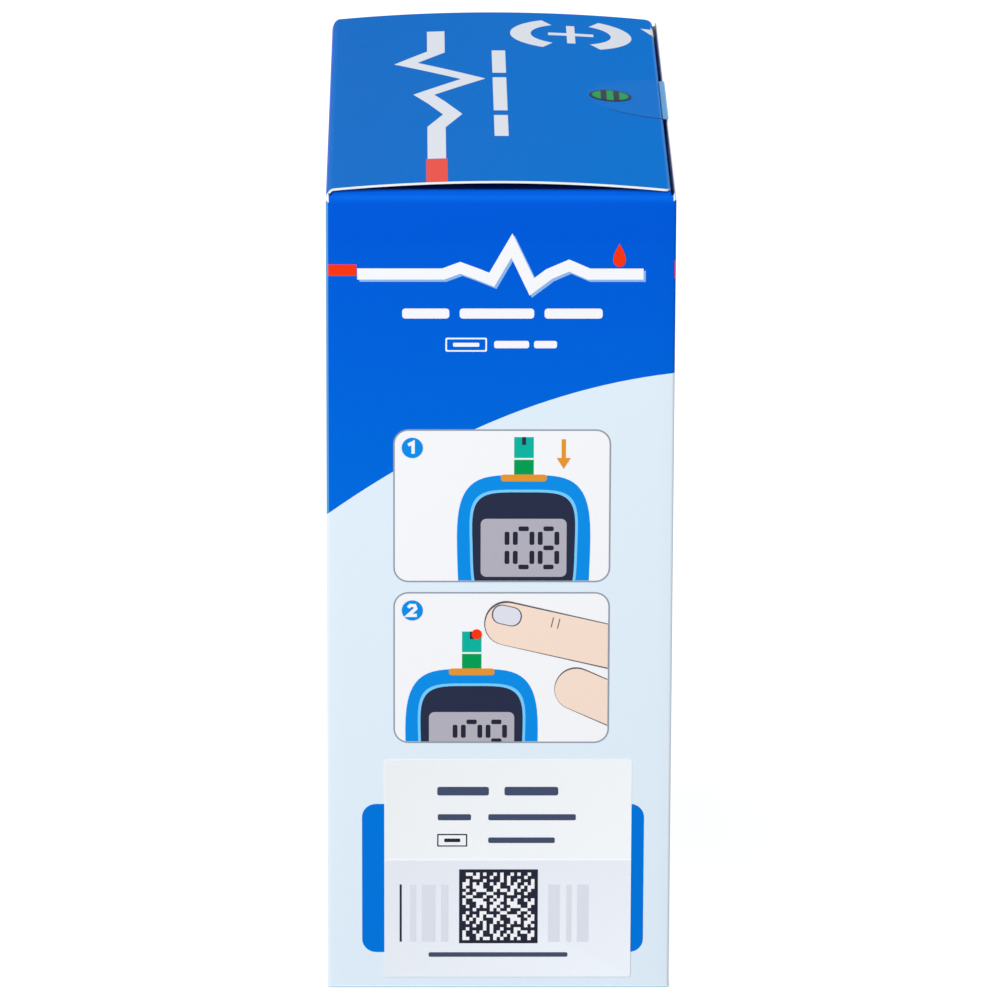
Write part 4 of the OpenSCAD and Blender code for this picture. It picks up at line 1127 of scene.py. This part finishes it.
# Rear label with bars, a framed number place and a lattice, ridges and an arrow on the battery cover,
# and a plus on the cell
def rearMarks():
    shapes = latticeSquare(2.5, 50.2, 9.0, 9) + boxes(
        (-12, 49.5, -2, 53.0, 0.4, "black", 1), (-11.7, 49.8, -2.3, 52.7, 0.3, "white", 2),
        *((x, 50.4, x + w, 52.1, "black", 3) for x, w in (
            (-11.2, 0.5), (-10.3, 0.3), (-9.4, 0.7), (-8.2, 0.3), (-7.4, 0.5), (-6.3, 0.8),
            (-5.0, 0.3), (-4.2, 0.6), (-3.2, 0.3))))
    for y, h, widths, gap in ((66.5, 1.2, (7, 9, 4), 0.9), (63.2, 0.9, (5, 6), 0.8),
                              (60.6, 0.9, (8, 4, 3), 0.8), (58.0, 0.9, (4, 9), 0.8)):
        shapes += wordBars(-12, y, h, widths, gap, "line")
    ridges = [(roundRect(13 - 1.2 * k, 0.9, 0.44, 4, (0, 8 + 1.9 * k)), "shell", 1) for k in range(5)]
    ridges.append((np.array([(-2.2, 24.0), (2.2, 24.0), (0, 19.8)]), "shell", 1))
    plusSign = boxes((-3.2, 18.6, 3.2, 19.4, "dark", 1), (-0.4, 15.8, 0.4, 22.2, "dark", 2))
    printOn("rearLabelPrint", onMeterRear(meter["rearLabel"]), shapes, "meter", 0.02)
    printOn("coverRidges", onMeterRear(meter["cover"]), ridges, "meter_cover", 0.16)
    printOn("cellMark", onMeterRear(meter["cell"]), plusSign, "meter", 0.03)


makeLens()
displayPrint()
shellPrint()
keyPrint()
rearMarks()
print("meter done")

vial = {"x": -13.25, "y": 12.0, "r": 12.5, "label": (24.0, 57.0)}
lancer = {"x": 15.6, "y": 12.0, "r": 8.5, "wire": 0.35, "pull": 8.0, "cock": 6.0}


# Place round an upright cylinder: the way round over its radius is the angle from its front, and
# the radius grows by the lift
def around(part):
    def place(outline, lift):
        way, height = np.moveaxis(outline, -1, 0)
        turn, r = way / part["r"], part["r"] + lift
        return join(part["x"] + r * np.sin(turn), part["y"] - r * np.cos(turn), height)
    return place


# Vial label: a white band most of the way round, a blue field, a thin teal line, a drop and bars
def vialPrint():
    low, high = vial["label"]
    middle = (low + high) / 2
    rows = ((-33, 33, middle, high - low, "white", 1), (-33, 33, high - 5, 8.4, "azure", 2),
            (-33, 33, low + 2.6, 2.0, "teal", 2), (-2.5, 10, high - 4, 1.5, "white", 3),
            (-2.5, 6, high - 6.6, 1.1, "white", 3), (-9, 2, middle - 1, 1.1, "line", 3),
            (-9, 7, middle - 3.4, 0.9, "line", 3), (-9, 4, middle - 5.6, 0.9, "line", 3),
            (14, 26, middle - 1, 0.9, "line", 3), (14, 24, middle - 3.2, 0.9, "line", 3),
            (14, 27, middle - 5.4, 0.9, "line", 3), (-27, -15, middle - 1, 0.9, "line", 3),
            (-27, -17, middle - 3.2, 0.9, "line", 3))
    shapes = [(band([(a, y), (b, y)], width, 1.0), ink, level) for a, b, y, width, ink, level in rows]
    shapes.append((filled(dropShape(-6.5, high - 5, 5.4)), "red", 3))
    printOn("vialLabel", around(vial), shapes, "vial", 0.05)


# Depth numbers round the barrel under the dial, with a mark over each, and a stripe at the collar
def lancerPrint():
    shapes = [(band([(-9, 88.5), (9, 88.5)], 1.1, 1.0), "white", 1)]
    for k, lines in enumerate(numberLines):
        x = (k - 2) * 4.4
        shapes += [(band(np.array(line) * 1.3 + (x, 94.4), 0.6, 0.5), "white", level + 1)
                   for level, line in enumerate(lines)]
        shapes.append((filled(disc(x, 98.2, 0.45, 16)), "white", 1))
    printOn("barrelMarks", around(lancer), shapes, "lancing_device", 0.05)


# Spring: a circle of wire carried round a helix, whose height is a line through the turns with the
# first and last lying closed. It rides whole on its body
def makeSpring(node, name, body, turns):
    low, high = nodeBox(node)
    wire, height = lancer["wire"], high[2] - low[2]
    turn = np.linspace(0, turns, turns * 28 + 1)
    rise = np.interp(turn, (0, 1, turns - 1, turns),
                     (0, 2 * wire, height - 4 * wire, height - 2 * wire))
    wireTurn = np.linspace(0, 2 * pi, 8, endpoint=False)
    out = (high[0] - low[0]) / 2 - wire + wire * np.cos(wireTurn)
    angle = 2 * pi * turn[:, None]
    grid = join(lancer["x"] + out * np.cos(angle), lancer["y"] + out * np.sin(angle),
                low[2] + wire + rise[:, None] + wire * np.sin(wireTurn))
    spring = makePiece(name, [patch(grid, True), endFace(grid[0]), endFace(grid[-1])],
                       [finishes["spring_steel"]], body, [node], sharp=60)
    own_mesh(spring)


bookletCover = -29.45


# Booklet cover: a blue field with a pulse line, and rows of bars on white under it
def bookletPrint():
    shapes = [*boxes((-52, 104, 52, 149.2, 0.6, "sky", 1)),
              (pulse(-36, 36, 126, 8, 1.8), "white", 2), (dropShape(30, 132, 5), "red", 3),
              *wordBars(-20, 116, 2.2, (12, 16, 9), 2.0, "white", 2)]
    for k in range(6):
        widths = (16 + k % 3 * 3, 14, 20 - k % 2 * 5, 12)
        shapes += wordBars(-44, 96 - 4.6 * k, 1.3, widths, 2.0, "grey")
    place = onFace(1, 0, (bookletCover, 0, 0))
    printOn("bookletCover", place, shapes, "carton", 0.015)


vialPrint()
lancerPrint()
makeSpring("return_spring", "returnSpring", "cocking_grip", 4)
makeSpring("drive_spring", "driveSpring", "lancet_slider", 7)
bookletPrint()
print("kit done")

studio = {"floor": 0.76, "floorReach": 3.0, "fill": 0.62,
          "key": 17.5, "keySize": 0.9, "keyAt": (-0.8, -1.2, 1.0), "keyTo": (0, 0, 0.08)}


# 1 for rays that see a thing: from the camera, in a reflection or through a clear piece
def seenRays(tree):
    path = addNode(tree, "ShaderNodeLightPath").outputs
    seen = mathNode(tree, "MAXIMUM", path["Is Camera Ray"], path["Is Glossy Ray"])
    return mathNode(tree, "MAXIMUM", seen, path["Is Transmission Ray"])


# White where it is seen, and soft light for everything else
def makeWorld():
    world = bpy.data.worlds.new("studio")
    bpy.context.scene.world = world
    world.use_nodes = True
    tree = world.node_tree
    ends = tree.nodes["Background"].inputs
    ends["Color"].default_value = (1, 1, 1, 1)
    linkTo(tree, ends, Strength=addNode(tree, "ShaderNodeMapRange", i0=seenRays(tree), i1=0.0, i2=1.0,
                                        i3=studio["fill"], i4=1.0).outputs[0])


# Floor: matt, plus a share of white for seeing rays, so that only the shadow shows
def makeFloor():
    material = bpy.data.materials.new("floor")
    material.use_nodes = True
    tree = material.node_tree
    tree.nodes.remove(tree.nodes["Principled BSDF"])
    matt, glow, dark = (addNode(tree, kind, **values).outputs[0] for kind, values in
                        (("ShaderNodeBsdfDiffuse", {"Color": (0.5, 0.5, 0.5, 1)}),
                         ("ShaderNodeEmission", {"Color": (1, 1, 1, 1), "Strength": studio["floor"]}),
                         ("ShaderNodeEmission", {"Color": (0, 0, 0, 1), "Strength": 0.0})))
    own = addNode(tree, "ShaderNodeMixShader", i0=seenRays(tree), i1=dark, i2=glow).outputs[0]
    both = addNode(tree, "ShaderNodeAddShader", i0=matt, i1=own).outputs[0]
    linkTo(tree, tree.nodes["Material Output"].inputs, Surface=both)
    mesh = bpy.data.meshes.new("floor")
    r = studio["floorReach"]
    mesh.from_pydata([(-r, -r, 0), (r, -r, 0), (r, r, 0), (-r, r, 0)], [], [(0, 1, 2, 3)])
    mesh.materials.append(material)
    addObject("floor", mesh)


# Key light: a round lamp that looks along the line from its place to the box
def makeKey():
    lamp = bpy.data.lights.new("key", "AREA")
    lamp.shape, lamp.size, lamp.energy = "DISK", studio["keySize"], studio["key"]
    holder = addObject("key", lamp)
    holder.location = studio["keyAt"]
    aim = Vector(np.subtract(studio["keyTo"], studio["keyAt"]).tolist())
    holder.rotation_euler = aim.to_track_quat("-Z", "Y").to_euler()


view = {"at": (-0.0156, -1.48848, 0.54701), "pitch": 17.562, "roll": 0.193, "yaw": 0.565,
        "focal": 8133.8, "sensor": 36.0}


# Camera: its right, forward and up directions are the rows of pitch x roll x yaw
def makeCamera():
    p, r, y = (radians(view[key]) for key in ("pitch", "roll", "yaw"))
    pitch = np.array([[1, 0, 0], [0, cos(p), -sin(p)], [0, sin(p), cos(p)]])
    roll = np.array([[cos(r), 0, sin(r)], [0, 1, 0], [-sin(r), 0, cos(r)]])
    yaw = np.array([[cos(y), -sin(y), 0], [sin(y), cos(y), 0], [0, 0, 1]])
    right, forward, up = pitch @ roll @ yaw
    lens = bpy.data.cameras.new("camera")
    lens.sensor_width = view["sensor"]
    lens.lens = view["focal"] * view["sensor"] / 1000
    lens.clip_start, lens.clip_end = 0.01, 20
    camera = addObject("camera", lens)
    matrix = np.eye(4)
    matrix[:3] = join(right, up, -forward, view["at"])
    camera.matrix_world = Matrix(matrix.tolist())
    bpy.context.scene.camera = camera


makeWorld()
makeFloor()
makeKey()
makeCamera()
bpy.context.scene.view_settings.view_transform = "Standard"
print("studio done")
